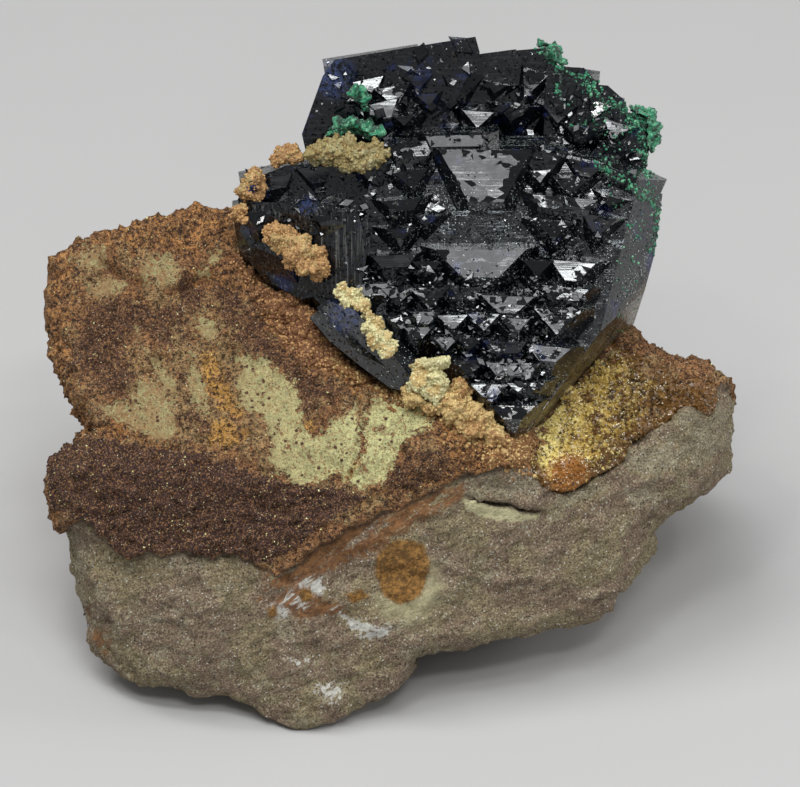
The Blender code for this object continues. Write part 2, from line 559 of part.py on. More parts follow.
# ---- the crusts ------------------------------------------------------------------------------
def nodule(name, balls, home, grow=0.0):
    """A knobbly growth: balls melted together and roughened."""
    shape = bmesh.new()
    for x, y, z, radius in balls:
        made = bmesh.ops.create_icosphere(
            shape, subdivisions=NODULE_BALL_LEVEL, radius=radius + grow,
            matrix=Matrix.Translation((x, y, z)))
        for vert in made["verts"]:
            outward = (vert.co - Vector((x, y, z))).normalized()
            vert.co += outward * roughness(vert.co, *NODULE_LUMPS)
    bmesh.ops.scale(shape, vec=(MM, MM, MM), verts=shape.verts)
    body = object_from(shape, name, home)
    melt = body.modifiers.new("melt", "REMESH")
    melt.mode = "VOXEL"
    melt.voxel_size = NODULE_VOXEL * MM
    settle(body)
    simplify(body, NODULE_FACES_PER_BALL * len(balls))
    return body


def druse(name, home, grow=0.0):
    """The sheet of small crystals on the stone's right shelf, following it, with a pimply top."""
    xs, ys = zip(*DRUSE_OUTLINE)
    columns = round((max(xs) - min(xs) + 2) / DRUSE_SPACING)
    rows = round((max(ys) - min(ys) + 2) / DRUSE_SPACING)
    middle = Vector(((max(xs) + min(xs)) / 2, (max(ys) + min(ys)) / 2, 0))
    stretch = Matrix.Diagonal((columns * DRUSE_SPACING / 2, rows * DRUSE_SPACING / 2, 1, 1))
    shape = bmesh.new()
    bmesh.ops.create_grid(shape, x_segments=columns, y_segments=rows, size=1.0,
                          matrix=Matrix.Translation(middle) @ stretch)
    centres = np.array([f.calc_center_median() for f in shape.faces])
    keep = inside_distance(centres[:, 0], centres[:, 1], DRUSE_OUTLINE) > 0
    outside = [f for f, kept in zip(shape.faces, keep) if not kept]
    bmesh.ops.delete(shape, geom=outside, context="FACES")
    for vert in shape.verts:
        if vert.is_boundary:
            vert.co.xy = on_outline(vert.co.xy, DRUSE_OUTLINE, grow)
    underside = list(shape.verts)
    risen = bmesh.ops.extrude_face_region(shape, geom=list(shape.faces), use_keep_orig=True)
    topside = [v for v in risen["geom"] if isinstance(v, bmesh.types.BMVert)]
    bump = random.Random(DRUSE_SEED)
    for vert, level in zip(underside, levels_under(underside)):
        vert.co.z = level - DRUSE_SINK - grow
    for vert, level in zip(topside, levels_under(topside)):
        pimple = bump.uniform(-DRUSE_BUMP, DRUSE_BUMP)
        vert.co.z = level + DRUSE_RISE + pimple + DRUSE_BED_OPENING * grow
    bmesh.ops.recalc_face_normals(shape, faces=shape.faces)
    bmesh.ops.scale(shape, vec=(MM, MM, MM), verts=shape.verts)
    return object_from(shape, name, home)


def on_outline(place, outline, grow):
    """The nearest place on an outline, or a little outside it."""
    nearest = None
    for start, end in zip(outline, outline[1:] + outline[:1]):
        start, end = Vector(start), Vector(end)
        share = intersect_point_line(place, start, end)[1]
        found = start.lerp(end, min(1.0, max(0.0, share)))
        if nearest is None or (found - place).length < (nearest - place).length:
            nearest, run = found, (end - start).normalized()
    return nearest - Vector((-run.y, run.x)) * grow


def levels_under(verts):
    """Where the stone's front lies under some points, with its edge curved over."""
    across, up = np.array([v.co[:2] for v in verts]).T
    spokes = np.array([across - STONE_CENTRE[0], up - STONE_CENTRE[1]])
    reach, rim = rim_at(np.arctan2(spokes[1], spokes[0]))
    share = np.clip(np.hypot(*spokes) / reach, 0, 1)
    return rounded_over(stone_front(across, up), rim, np.sqrt(1 - share**2))


# ---- the build -------------------------------------------------------------------------------
def material(name, colour, dullness):
    """A plain finish."""
    made = bpy.data.materials.new(name)
    made.use_nodes = True
    shader = made.node_tree.nodes["Principled BSDF"]
    shader.inputs["Base Color"].default_value = (*colour, 1.0)
    shader.inputs["Roughness"].default_value = dullness
    shader.inputs["Metallic"].default_value = 0.0
    return made


def nodule_finish(name):
    """A small growth's finish, from its name."""
    if name.startswith("malachite"):
        return MALACHITE_GREEN
    return PALE_YELLOW if name.startswith(("pale", "ochre")) else TAN


def build():
    """Make the stone, the crystals and the small growths, and stand them on the ground."""
    for leftover in list(bpy.data.objects):
        bpy.data.objects.remove(leftover)
    specimen = collection("azurite specimen")
    cutters = collection("cutters")
    face = bpy.data.objects.new("display face", None)
    specimen.objects.link(face)
    face.rotation_euler.x = math.pi / 2 - FACE_LEAN

    azurite = fused_crystals("azurite_crystals", specimen)
    socket = fused_crystals("crystal socket", cutters, JOINT_GAP)
    stone = object_from(stone_shape(), "matrix_stone", specimen)
    simplify(stone, STONE_FACES)
    cut_foot(stone)
    combine(stone, "DIFFERENCE", socket)
    nodes = {stone: STONE_BROWN, azurite: AZURITE_BLUE}

    crust = druse("drusy_crust", specimen)
    combine(crust, "DIFFERENCE", socket)
    combine(stone, "DIFFERENCE", druse("druse bed", cutters, JOINT_GAP))
    nodes[crust] = DRUSE_OCHRE
    taken = [socket]
    for name, balls in NODULES.items():
        growth = nodule(name, balls, specimen)
        for neighbour in taken:
            # the exact solver leaves some of these melted shapes open
            combine(growth, "DIFFERENCE", neighbour, solver="MANIFOLD")
        bed = nodule(name + " bed", balls, cutters, SOFT_GAP)
        combine(stone, "DIFFERENCE", bed)
        taken.append(bed)
        nodes[growth] = nodule_finish(name)

    for piece, finish in nodes.items():
        keep_largest(piece)
        tidy(piece)
        piece.data.materials.clear()
        piece.data.materials.append(material(*finish))
        piece.parent = face
    for cutter in cutters.objects:
        cutter.hide_render = True
        cutter.display_type = "WIRE"
        cutter.parent = face
    stand_on_ground(face, nodes)


def stand_on_ground(face, pieces):
    """Put the middle of the group's lowest level at the origin."""
    bpy.context.view_layer.update()
    turn = np.array(face.matrix_world.to_3x3())
    corners = np.vstack([np.array([v.co for v in p.data.vertices]) @ turn.T for p in pieces])
    low, high = corners.min(axis=0), corners.max(axis=0)
    face.location = (-(low[0] + high[0]) / 2, -(low[1] + high[1]) / 2, -low[2])
    bpy.context.view_layer.update()


build()
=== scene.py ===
import math
import random
from contextlib import contextmanager

import bmesh
import bpy
import numpy as np
from bpy.props import FloatProperty, FloatVectorProperty, PointerProperty
from mathutils import Matrix, Vector, noise
from mathutils.bvhtree import BVHTree


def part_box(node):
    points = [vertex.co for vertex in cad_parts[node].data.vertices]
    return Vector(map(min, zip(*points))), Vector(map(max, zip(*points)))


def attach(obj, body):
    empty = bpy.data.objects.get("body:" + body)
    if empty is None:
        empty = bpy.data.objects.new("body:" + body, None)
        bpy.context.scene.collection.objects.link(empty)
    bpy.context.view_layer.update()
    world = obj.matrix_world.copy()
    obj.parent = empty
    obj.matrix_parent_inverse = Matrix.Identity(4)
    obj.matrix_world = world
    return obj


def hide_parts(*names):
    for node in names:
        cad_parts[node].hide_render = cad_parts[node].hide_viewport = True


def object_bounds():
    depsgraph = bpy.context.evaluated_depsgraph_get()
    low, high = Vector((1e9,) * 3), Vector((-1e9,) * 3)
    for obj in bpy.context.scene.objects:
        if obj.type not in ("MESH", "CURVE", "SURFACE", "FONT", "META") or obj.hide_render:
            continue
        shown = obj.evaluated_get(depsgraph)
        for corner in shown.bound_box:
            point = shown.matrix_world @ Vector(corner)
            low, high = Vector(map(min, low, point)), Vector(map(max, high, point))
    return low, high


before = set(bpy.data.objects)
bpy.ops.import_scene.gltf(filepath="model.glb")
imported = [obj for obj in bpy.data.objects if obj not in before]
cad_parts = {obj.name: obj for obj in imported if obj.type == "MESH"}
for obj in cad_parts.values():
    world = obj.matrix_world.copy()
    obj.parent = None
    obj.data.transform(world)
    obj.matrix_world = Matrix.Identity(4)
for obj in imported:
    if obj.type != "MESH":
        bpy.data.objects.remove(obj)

bl_info = {
    "name": "Azurite specimen",
    "version": (1, 0, 0),
    "blender": (4, 5, 0),
    "location": "3D View > Sidebar > Specimen",
    "description": "Dresses a cluster of azurite crystals on its iron-stained matrix stone",
    "category": "Object",
}

# ---- the frame ----
MM = 0.001
BODY = "root"
CAD_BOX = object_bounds()

# The specimen's display face leans back. Places on it are across, up and out, in mm.
FACE_LEAN = math.radians(35)
SIN_LEAN, COS_LEAN = math.sin(FACE_LEAN), math.cos(FACE_LEAN)
FACE_ORIGIN = np.array([-0.1062, -22.8914, -0.05])
FACE_OUT = Vector((0.0, -COS_LEAN, SIN_LEAN))
FACE_UP = Vector((0.0, SIN_LEAN, COS_LEAN))

AZURITE = "azurite_crystals"
STONE = "matrix_stone"
DRUSE = "drusy_crust"
# The crusts' CAD nodes and kinds, and the one whose middle is blue.
CRUSTS = {
    "tan_crust_left": "tan", "tan_nodule_upper": "tan", "tan_nodule_lower": "tan",
    "tan_nodule_top": "tan", "pale_bead_crust": "pale", "pale_coral_crust": "pale",
    "rim_crust": "rim", "ochre_cap": "ochre",
}
BLUE_HEART = "tan_nodule_upper"
MALACHITE = ["malachite_arc", "malachite_patch", "malachite_corner", "malachite_rim"]

# ---- the stone's stains, as outlines on the display face in mm ----
# Above this line the stone has its old stained skin, and below it the clean break.
SKIN_EDGE = [
    (-31.5, 18.6), (-29.2, 18.8), (-27.1, 19.4), (-26.0, 18.1), (-23.4, 16.4), (-21.4, 16.7),
    (-19.7, 16.2), (-17.9, 16.7), (-15.3, 16.2), (-13.9, 16.6), (-11.3, 15.5), (-10.2, 14.8),
    (-8.1, 15.9), (-5.3, 17.7), (-2.8, 19.2), (0.5, 20.6), (4.5, 22.5), (8.1, 24.0),
    (12.4, 24.8), (13.8, 22.1), (15.9, 22.3), (18.5, 23.9), (20.8, 25.0), (21.2, 26.6),
    (23.3, 27.5), (25.3, 28.7), (26.6, 29.9), (28.0, 29.0), (29.2, 29.9), (29.6, 31.3),
    (32.0, 31.9),
]
BACK_SKIN_HEIGHT = 9.0
SPLIT_ENDS = ((6.9, 21.6), (14.1, 20.2))
# The stone's sheet-thin lower edge, and how thick it is made, in mm.
THIN_EDGE = [(-25.2, 6.3), (-24.0, 5.7), (-23.0, 5.4), (-22.0, 4.95), (-21.0, 4.7), (-19.8, 4.65)]
EDGE_RADIUS = 0.42
# Ridges, ledges and cracks of the stone: places, how far they reach and their height, in mm.
FOLDS = [
    ([(-29.8, 42.2), (-27.8, 43.8), (-25.7, 43.1), (-23.2, 44.8), (-20.3, 45.4), (-17.0, 46.6)],
     1.0, 0.95),
    ([(-25.4, 42.0), (-23.6, 41.0), (-21.5, 40.2), (-19.0, 40.1), (-16.1, 41.4)], 0.6, -0.75),
    ([(-9.7, 37.4), (-9.1, 35.9), (-9.5, 34.6)], 0.3, -0.5),
    ([(-2.8, 30.0), (-2.4, 28.0), (-3.0, 25.9), (-3.5, 23.4)], 0.35, -0.5),
    ([(-14.8, 37.0), (-13.4, 34.6), (-12.6, 34.4)], 0.5, 0.35),
    ([(-12.8, 40.8), (-12.3, 39.6)], 0.8, 0.7),
    ([(-9.7, 39.3), (-8.5, 38.9)], 0.8, 0.8),
    ([(-7.9, 37.9), (-6.9, 36.5), (-6.6, 35.4)], 0.8, 0.9),
    ([(-10.4, 37.0), (-9.2, 35.7)], 0.7, 0.6),
    ([(-27.0, 31.0), (-25.4, 28.4), (-22.6, 27.0), (-19.0, 26.2)], 0.7, 0.4),
    ([(-19.0, 15.0), (-15.2, 14.4), (-14.5, 13.1), (-15.6, 11.6)], 0.5, 0.35),
    ([(-19.9, 10.8), (-17.7, 10.3), (-16.9, 8.4), (-16.0, 7.1)], 0.5, 0.3),
    ([(-27.0, 14.6), (-24.8, 12.0), (-24.2, 9.0)], 0.6, 0.25),
    ([(17.3, 12.5), (18.8, 12.9), (20.3, 13.6)], 0.5, 0.45),
    ([(17.6, 11.9), (19.0, 12.3), (20.4, 12.9)], 0.35, -0.3),
    ([(4.0, 16.0), (7.4, 14.6), (11.0, 14.2)], 0.5, 0.3),
    ([(18.6, 21.4), (22.0, 22.6), (24.4, 24.8)], 0.6, 0.35),
    ([(-9.4, 8.4), (-5.0, 9.4), (-1.0, 11.0)], 0.5, 0.25),
]
STAINS = {
    "band": [
        [(-30.1, 25.1), (-28.4, 26.1), (-26.1, 26.4), (-23.2, 26.2), (-19.0, 25.7), (-17.2, 25.5),
         (-14.1, 24.7), (-11.6, 23.8), (-9.5, 23.1), (-6.6, 22.7), (-3.3, 22.1), (-1.9, 21.7),
         (-4.9, 19.7), (-8.2, 17.4), (-10.7, 15.7), (-13.2, 16.4), (-17.8, 16.3), (-20.6, 16.6),
         (-23.0, 16.3), (-26.1, 18.3), (-28.3, 19.7), (-29.8, 20.9), (-30.3, 23.0)],
    ],
    "dark": [
        [(-27.6, 37.9), (-25.3, 39.4), (-22.6, 39.0), (-20.1, 38.6), (-18.2, 37.4), (-17.6, 35.9),
         (-19.0, 34.6), (-20.6, 35.0), (-21.9, 36.3), (-23.0, 35.9), (-23.6, 34.0), (-23.0, 32.3),
         (-24.6, 30.5), (-26.5, 30.9), (-28.0, 33.0), (-28.4, 35.9)],
        [(-15.5, 40.2), (-13.6, 39.8), (-12.0, 37.9), (-10.7, 35.9), (-8.9, 34.0), (-6.6, 32.5),
         (-4.5, 30.9), (-4.9, 30.1), (-6.6, 28.8), (-7.6, 28.8), (-8.2, 30.7), (-9.9, 32.5),
         (-11.6, 34.0), (-13.2, 35.0), (-14.7, 36.7), (-15.7, 38.4)],
        [(-19.0, 40.9), (-17.2, 41.1), (-17.0, 38.6), (-18.0, 37.4), (-19.0, 38.7)],
        [(-20.3, 28.8), (-18.2, 30.1), (-17.0, 28.8), (-17.2, 26.7), (-19.0, 26.7)],
        [(-0.8, 23.4), (1.6, 25.0), (4.6, 25.6), (6.0, 24.8), (3.4, 23.2), (0.6, 22.0)],
    ],
    "cream": [
        [(-22.6, 42.1), (-21.5, 43.3), (-19.7, 43.0), (-19.0, 41.9), (-19.5, 40.9), (-20.7, 40.5),
         (-22.0, 40.9)],
        [(-17.5, 41.5), (-16.5, 43.3), (-15.5, 43.7), (-15.4, 42.7), (-16.5, 41.4)],
        [(-27.4, 40.4), (-26.1, 41.3), (-23.8, 40.8), (-24.1, 39.9), (-26.1, 39.4),
         (-27.2, 39.8)],
        [(-28.9, 42.5), (-27.6, 43.7), (-26.1, 43.3), (-25.7, 42.2), (-27.3, 41.9)],
        [(-17.7, 36.9), (-17.1, 38.4), (-16.0, 37.4), (-15.6, 35.9), (-16.5, 35.0),
         (-17.2, 35.9)],
        [(-22.7, 36.3), (-21.7, 34.8), (-20.6, 34.0), (-19.7, 31.9), (-19.1, 30.1), (-20.0, 30.7),
         (-21.2, 32.9), (-22.2, 34.5)],
        [(-13.6, 34.4), (-12.7, 34.0), (-11.4, 34.0), (-10.2, 32.9), (-8.9, 31.8), (-8.2, 29.4),
         (-7.9, 27.4), (-6.8, 26.7), (-5.7, 27.4), (-4.9, 28.9), (-2.9, 29.4), (-2.4, 28.4),
         (-2.8, 26.7), (-2.7, 25.1), (-3.9, 23.4), (-4.9, 24.4), (-6.6, 23.2), (-8.2, 22.9),
         (-9.9, 23.4), (-10.8, 25.1), (-10.4, 26.7), (-11.6, 28.3), (-13.3, 29.7), (-14.1, 31.6),
         (-13.2, 32.9), (-14.0, 33.8)],
        [(-2.2, 28.8), (-1.4, 30.1), (0.9, 30.2), (3.0, 30.1), (3.9, 28.8), (3.8, 27.6),
         (1.7, 26.7), (0.5, 25.1), (-0.8, 23.0), (-2.4, 22.2), (-3.6, 22.9), (-2.6, 24.7),
         (-2.0, 26.7)],
        [(-23.5, 30.1), (-22.3, 31.6), (-20.4, 31.2), (-19.4, 29.2), (-18.5, 26.7), (-20.6, 26.2),
         (-22.7, 27.4), (-25.3, 28.6), (-25.8, 29.6)],
        [(-18.2, 34.6), (-17.5, 34.7), (-16.9, 31.7), (-16.5, 28.8), (-17.4, 29.6),
         (-18.0, 32.5)],
    ],
    "ochre": [
        [(-17.1, 34.2), (-16.0, 34.6), (-15.2, 33.0), (-14.1, 30.9), (-13.1, 29.1), (-13.6, 27.9),
         (-14.8, 29.1), (-16.0, 30.5), (-17.0, 32.1)],
        [(-8.2, 27.9), (-7.0, 28.2), (-6.5, 27.6), (-7.0, 27.0), (-7.9, 27.1)],
        [(-10.6, 25.7), (-9.1, 25.3), (-8.2, 24.6), (-9.0, 24.0), (-10.2, 24.7)],
        [(-3.8, 25.3), (-2.7, 25.0), (-2.9, 23.8), (-3.9, 23.2), (-4.1, 24.2)],
        [(-15.7, 27.6), (-13.9, 28.4), (-12.9, 26.9), (-14.5, 25.8), (-16.0, 26.3)],
    ],
    "tan": [
        [(-22.4, 32.6), (-19.4, 36.8), (-16.2, 38.0), (-14.0, 34.4), (-12.0, 29.0), (-12.4, 25.6),
         (-21.8, 26.0), (-23.4, 29.0)],
        [(-20.6, 33.7), (-19.0, 33.4), (-17.8, 30.9), (-17.2, 26.7), (-18.6, 26.7),
         (-19.0, 30.1)],
        [(-15.2, 34.6), (-14.1, 33.7), (-14.1, 31.6), (-13.4, 29.7), (-11.7, 28.3), (-10.7, 26.7),
         (-11.1, 25.1), (-12.8, 26.7), (-14.1, 30.1), (-15.1, 32.5)],
        [(-7.9, 21.4), (-6.4, 21.9), (-5.2, 20.9), (-4.9, 19.7), (-6.6, 18.6), (-7.8, 19.7)],
    ],
    "orange": [
        [(-30.9, 40.0), (-29.8, 43.7), (-26.9, 44.3), (-25.3, 45.8), (-21.5, 46.3), (-17.8, 47.4),
         (-14.9, 47.1), (-14.8, 43.8), (-17.8, 43.7), (-21.5, 43.8), (-25.3, 43.8), (-29.0, 41.3),
         (-28.6, 35.9), (-27.7, 31.7), (-26.8, 27.6), (-29.0, 25.9), (-30.3, 30.9)],
        [(-30.5, 23.4), (-29.8, 25.1), (-26.5, 26.3), (-26.0, 23.4), (-27.3, 20.1),
         (-30.0, 19.7)],
        [(-13.9, 42.1), (-12.0, 40.0), (-9.1, 39.4), (-7.2, 39.4), (-6.4, 35.9), (-8.2, 34.8),
         (-9.9, 35.1), (-11.6, 37.4), (-13.6, 40.0)],
        [(-8.2, 35.0), (-5.7, 34.6), (-3.3, 32.9), (-1.8, 31.2), (-2.8, 30.9), (-4.9, 32.1),
         (-7.0, 33.3)],
        [(-18.2, 41.7), (-14.1, 42.9), (-13.6, 40.0), (-15.7, 40.2), (-17.4, 41.1)],
        [(-26.5, 28.8), (-22.4, 27.1), (-17.8, 25.9), (-15.7, 25.1), (-21.5, 25.6),
         (-26.1, 26.3)],
        [(3.9, 31.7), (6.7, 30.5), (12.5, 27.1), (12.5, 24.7), (8.4, 23.8), (5.1, 25.1),
         (3.8, 27.6)],
        [(-3.6, 20.9), (-1.6, 21.9), (4.2, 25.1), (10.0, 25.1), (6.6, 23.6), (2.0, 22.4)],
    ],
    "white": [
        [(-10.9, 12.2), (-9.6, 13.1), (-7.9, 14.4), (-6.0, 14.6), (-5.8, 13.3), (-7.5, 12.0),
         (-9.2, 11.0), (-10.5, 10.7)],
        [(-4.9, 11.6), (-4.1, 10.8), (-2.4, 10.3), (0.2, 10.1), (0.8, 9.6), (-1.5, 8.8),
         (-3.2, 9.5)],
        [(-8.8, 7.1), (-7.5, 7.4), (-7.1, 6.7), (-8.4, 6.4)],
        [(-6.7, 4.8), (-4.1, 4.6), (-4.5, 3.5), (-6.2, 3.8)],
    ],
    "spot": [
        [(-1.4, 14.6), (-1.2, 16.3), (0.2, 17.9), (1.7, 17.9), (3.2, 17.2), (3.6, 15.0),
         (2.7, 12.9), (1.0, 11.9), (-0.7, 12.9)],
        [(-11.0, 11.7), (-10.2, 12.0), (-9.9, 11.0), (-10.8, 10.6)],
        [(-8.0, 13.2), (-7.2, 13.5), (-6.9, 12.5), (-7.9, 12.3)],
        [(-4.1, 12.9), (-2.6, 13.4), (-1.6, 12.6), (-3.2, 12.0)],
    ],
    "halo": [
        [(-1.2, 12.6), (1.0, 12.6), (2.8, 13.6), (3.7, 15.6), (4.5, 13.8), (3.8, 11.8),
         (1.8, 10.4), (-0.2, 10.8)],
    ],
    "yellow": [
        [(6.6, 21.5), (8.2, 21.0), (11.0, 20.3), (13.6, 19.9), (13.0, 19.6), (10.6, 19.5),
         (8.2, 19.8), (6.9, 20.6)],
    ],
    "powder": [
        [(29.4, 30.4), (27.0, 28.6), (23.0, 26.2), (20.4, 24.0), (17.0, 22.0), (15.0, 21.0),
         (18.0, 20.6), (24.0, 22.0), (27.4, 24.0), (30.4, 25.6), (31.2, 31.4)],
        [(4.4, 20.4), (9.0, 22.6), (12.0, 23.6), (12.6, 22.0), (7.0, 21.6), (4.4, 19.4)],
        [(-30.4, 18.0), (-28.6, 18.6), (-27.4, 16.0), (-28.0, 11.0), (-29.6, 14.0)],
    ],
    "rust_streaks": [
        [(-11.6, 15.8), (-8.4, 17.0), (-5.4, 18.8), (-1.4, 20.2), (3.8, 22.2), (6.6, 23.0),
         (6.8, 21.8), (3.0, 19.6), (-0.6, 17.2), (-3.6, 15.8), (-7.0, 14.4), (-10.8, 13.2)],
        [(-11.4, 12.4), (-8.6, 13.6), (-5.4, 12.2), (-3.4, 11.0), (-8.0, 10.8)],
        [(-27.2, 11.6), (-26.5, 10.3), (-26.0, 8.6), (-25.0, 6.4), (-25.7, 6.7), (-26.6, 9.0)],
    ],
}
# How far from a stain its depth stops changing, in mm.
FAR_FROM_STAIN = 9.0
# How much each stain's edge wanders, in mm.
STAIN_WOBBLE = {"band": 0.3, "dark": 0.9, "cream": 0.4, "ochre": 0.4, "orange": 0.9, "tan": 0.5,
                "white": 0.5, "rust_streaks": 0.6, "powder": 0.9, "halo": 0.4, "yellow": 0.1,
                "spot": 0.2}
# Stains on the hidden sides: size, reach and start in mm, and seed.
HIDDEN_STAINS = {"cream": (7.0, 3.2, -1.1, 5), "dark": (6.0, 3.0, -0.5, 4),
                 "orange": (8.0, 3.0, -0.7, 6)}

DRUSE_OUTLINE = [
    (12.5, 27.2), (12.4, 24.6), (13.8, 22.4), (15.9, 22.3), (18.5, 23.9), (20.8, 25.0),
    (21.3, 26.6), (23.3, 27.6), (25.3, 28.7), (26.6, 29.9), (28.0, 28.8), (29.3, 29.8),
    (29.4, 31.2), (28.2, 32.2), (26.6, 32.0), (24.8, 32.8), (22.8, 33.8), (20.6, 35.4),
    (16.6, 35.6), (13.6, 31.6),
]

# ---- places for the fine growth on the crystals, on the display face in mm ----
# Outline, steps for each square mm, smallest and largest step, and how much they turn.
STEP_FIELDS = [
    ([(-6.0, 61.2), (8.0, 62.6), (5.0, 55.4), (1.2, 53.0), (-5.0, 53.2)], 0.8, 0.25, 0.95, 1.0),
    ([(3.4, 54.0), (6.0, 59.4), (14.0, 61.0), (15.0, 53.0)], 0.8, 0.2, 0.7, 0.3),
    ([(14.0, 60.0), (18.6, 58.4), (22.6, 53.6), (22.0, 49.0), (15.0, 52.0)], 1.4, 0.2, 0.7, 0.6),
    ([(-13.2, 52.4), (-2.0, 52.4), (-1.4, 45.0), (-12.0, 44.6)], 0.8, 0.2, 0.55, 0.6),
    ([(-1.6, 53.2), (4.0, 54.0), (5.4, 48.4), (-2.6, 41.0)], 1.0, 0.2, 0.55, 0.4),
    ([(13.0, 54.0), (20.0, 50.4), (19.6, 41.0), (12.4, 44.0)], 1.6, 0.2, 0.6, 0.4),
    ([(-5.0, 42.0), (4.0, 42.4), (14.0, 41.4), (19.0, 42.0), (16.0, 36.4), (13.0, 29.8),
      (9.6, 29.8), (0.0, 37.6)], 4.6, 0.18, 0.52, 0.35),
]
# Runs of grains along the hollow's lip, by kind: places, how far they spread, grains for a mm.
LIP_RUNS = {
    "tan": [
        ([(-13.4, 43.4), (-11.6, 40.2), (-9.8, 38.6)], 1.1, 60),
        ([(-9.4, 38.6), (-7.8, 36.2), (-5.6, 34.4)], 2.0, 260),
        ([(-8.8, 39.4), (-7.0, 37.8)], 0.9, 110),
    ],
    "rim": [
        ([(-5.4, 34.2), (-2.6, 32.2), (0.6, 30.8)], 0.6, 60),
        ([(0.6, 30.8), (2.8, 31.0), (6.6, 28.8)], 1.4, 140),
        ([(6.6, 28.8), (9.6, 26.8), (12.4, 26.0)], 1.7, 190),
        ([(9.0, 25.4), (12.6, 24.6)], 0.9, 60),
    ],
}
# Runs of malachite balls along the crystal edges: places, how far they spread, balls for a mm.
MALACHITE_RUNS = [
    ([(13.6, 62.2), (14.8, 61.6), (15.6, 60.4)], 0.7, 34),
    ([(14.6, 61.9), (15.3, 59.4), (15.0, 57.6)], 0.3, 14),
    ([(16.8, 59.8), (18.2, 59.0), (19.0, 57.8)], 0.8, 34),
    ([(19.4, 57.2), (20.6, 57.2), (22.4, 56.0), (23.6, 55.4)], 0.6, 34),
    ([(21.6, 56.0), (22.8, 54.6), (23.6, 52.8), (23.4, 50.4)], 0.7, 30),
    ([(18.6, 51.6), (20.8, 50.2), (22.8, 48.6), (24.4, 47.4)], 0.35, 26),
    ([(23.0, 49.6), (24.4, 48.0), (24.2, 45.4), (23.6, 43.6)], 0.5, 16),
    ([(-5.6, 54.4), (-4.2, 55.4), (-2.4, 55.2), (-1.6, 54.0)], 0.35, 30),
    ([(-3.2, 58.0), (-2.4, 57.0), (-1.9, 56.2)], 0.35, 26),
]
# Where malachite dust lies, and balls for each square mm.
MALACHITE_DUST = [
    ([(15.0, 58.0), (24.0, 56.0), (24.4, 46.0), (22.0, 44.0), (19.0, 50.0)], 5.0),
    ([(20.0, 44.0), (24.0, 46.0), (22.6, 38.0), (19.8, 34.0)], 2.4),
    ([(14.0, 61.6), (20.0, 58.0), (22.0, 53.0), (17.0, 53.6)], 1.5),
]

# ---- numbers ----
# How far out from the display face a line of sight starts, in mm.
RAY_START = 60.0
# Where the nearest edge is looked for when a line of sight misses, in mm, and how far, in metres.
EDGE_DEPTH, EDGE_REACH = -5.0, 0.003
MERGE_DISTANCE = 1e-7
# How far a seed shifts a noise along each axis.
SEED_STEPS = (7.3, 3.1, 5.7)
# Below the first height the stone's foot is flat; from the second its relief is full, in mm.
FOOT_TOP, FULL_RELIEF = 0.25, 1.2
# The skin's grains begin at the first height and are full from the second, in metres.
GRAIN_HEIGHTS = (0.001, 0.003)
# What share of the way points past the CAD's box are drawn back to it.
BOX_PULL = 0.6
# Nearly half a turn, in radians.
ANY_TURN = 3.1
# How parallel a facet's faces are, and how far facets lean.
FLAT = 0.9995
FACET_LEAN = 0.035
# How many square mm a big facet has, its share of the lean and how likely it is to be bright.
BIG_FACET = 4.0
BIG_FACET_LEAN = 0.3
BIG_FACET_CHANCE = 0.9
# Heights on the display face in mm, and how likely smaller facets are to be bright there.
BRIGHT_CHANCE = ([28.0, 36.0, 41.0, 46.0, 62.0], [0.55, 0.6, 0.45, 0.3, 0.45])
# Which way the brightest facets face, up and out.
GLINT_SLANT = (0.22, 0.975)
GLINT_TILT = math.atan2(*GLINT_SLANT)
# How many growth steps have that tilt, and how far they and the others stray from it, in radians.
GLINT_SHARE = 0.5
GLINT_STRAY, OTHER_STRAY = 0.03, 0.35
# Growth steps: height and width over their size, least roll in radians, and three-sided share.
STEP_TALL, STEP_WIDE = (0.6, 1.0), (0.8, 1.9)
STEP_ROLL = 0.35
THREE_SIDED_SHARE = 0.65
# How many patches of malachite dust there are for each metre.
DUST_PATCHES = 600.0
# How drawn-out patterns are turned on the display face, and how far they are drawn out.
STREAK_STRETCH = 0.35
STREAK_TURN = math.radians(-38)
SPLINTER_TURN = math.radians(-20)
CRACK_TURN = math.radians(70)
DUST_TURN = math.radians(-50)
# The stone's patterns: size in mm, detail, roughness, turn on the display face and stretch.
STONE_PATTERNS = {
    "ragged": (0.55, 5.0, 0.7, None, None),
    "cloud": (4.2, 5.0, 0.62, None, None),
    "clump": (1.3, 5.0, 0.75, None, None),
    "knot": (0.9, 5.0, 0.75, None, None),
    "grit": (0.42, 4.0, 0.75, None, None),
    "speck": (0.17, 2.0, 0.7, None, None),
    "cracks": (0.7, 5.0, 0.72, CRACK_TURN, (0.5, 1.6, 1.6)),
    "runs": (1.5, 5.0, 0.7, CRACK_TURN, (0.28, 1.7, 1.7)),
    "splinters": (0.7, 5.0, 0.7, SPLINTER_TURN, (0.6, 1.1, 1.1)),
    "blotch": (2.4, 6.0, 0.72, SPLINTER_TURN, (0.75, 1.1, 1.1)),
    "streaks": (2.2, 6.0, 0.75, STREAK_TURN, (0.3, 2.4, 2.4)),
}
# Places where the azurite shows its blue, on the display face, and how far they reach, in mm.
BLUE_SPOTS = [((-5.2, 59.6), 2.6), ((-12.0, 49.2), 1.4), ((-7.4, 47.8), 1.2), ((-3.8, 38.2), 2.2)]
# The middle of the druse's rusty patch on the display face in mm, and the colour of its painted
# sparkle highlights.
RUSTED_DRUSE = (16.0, 23.6)
DRUSE_SPARKLE = (1.0, 0.93, 0.7)
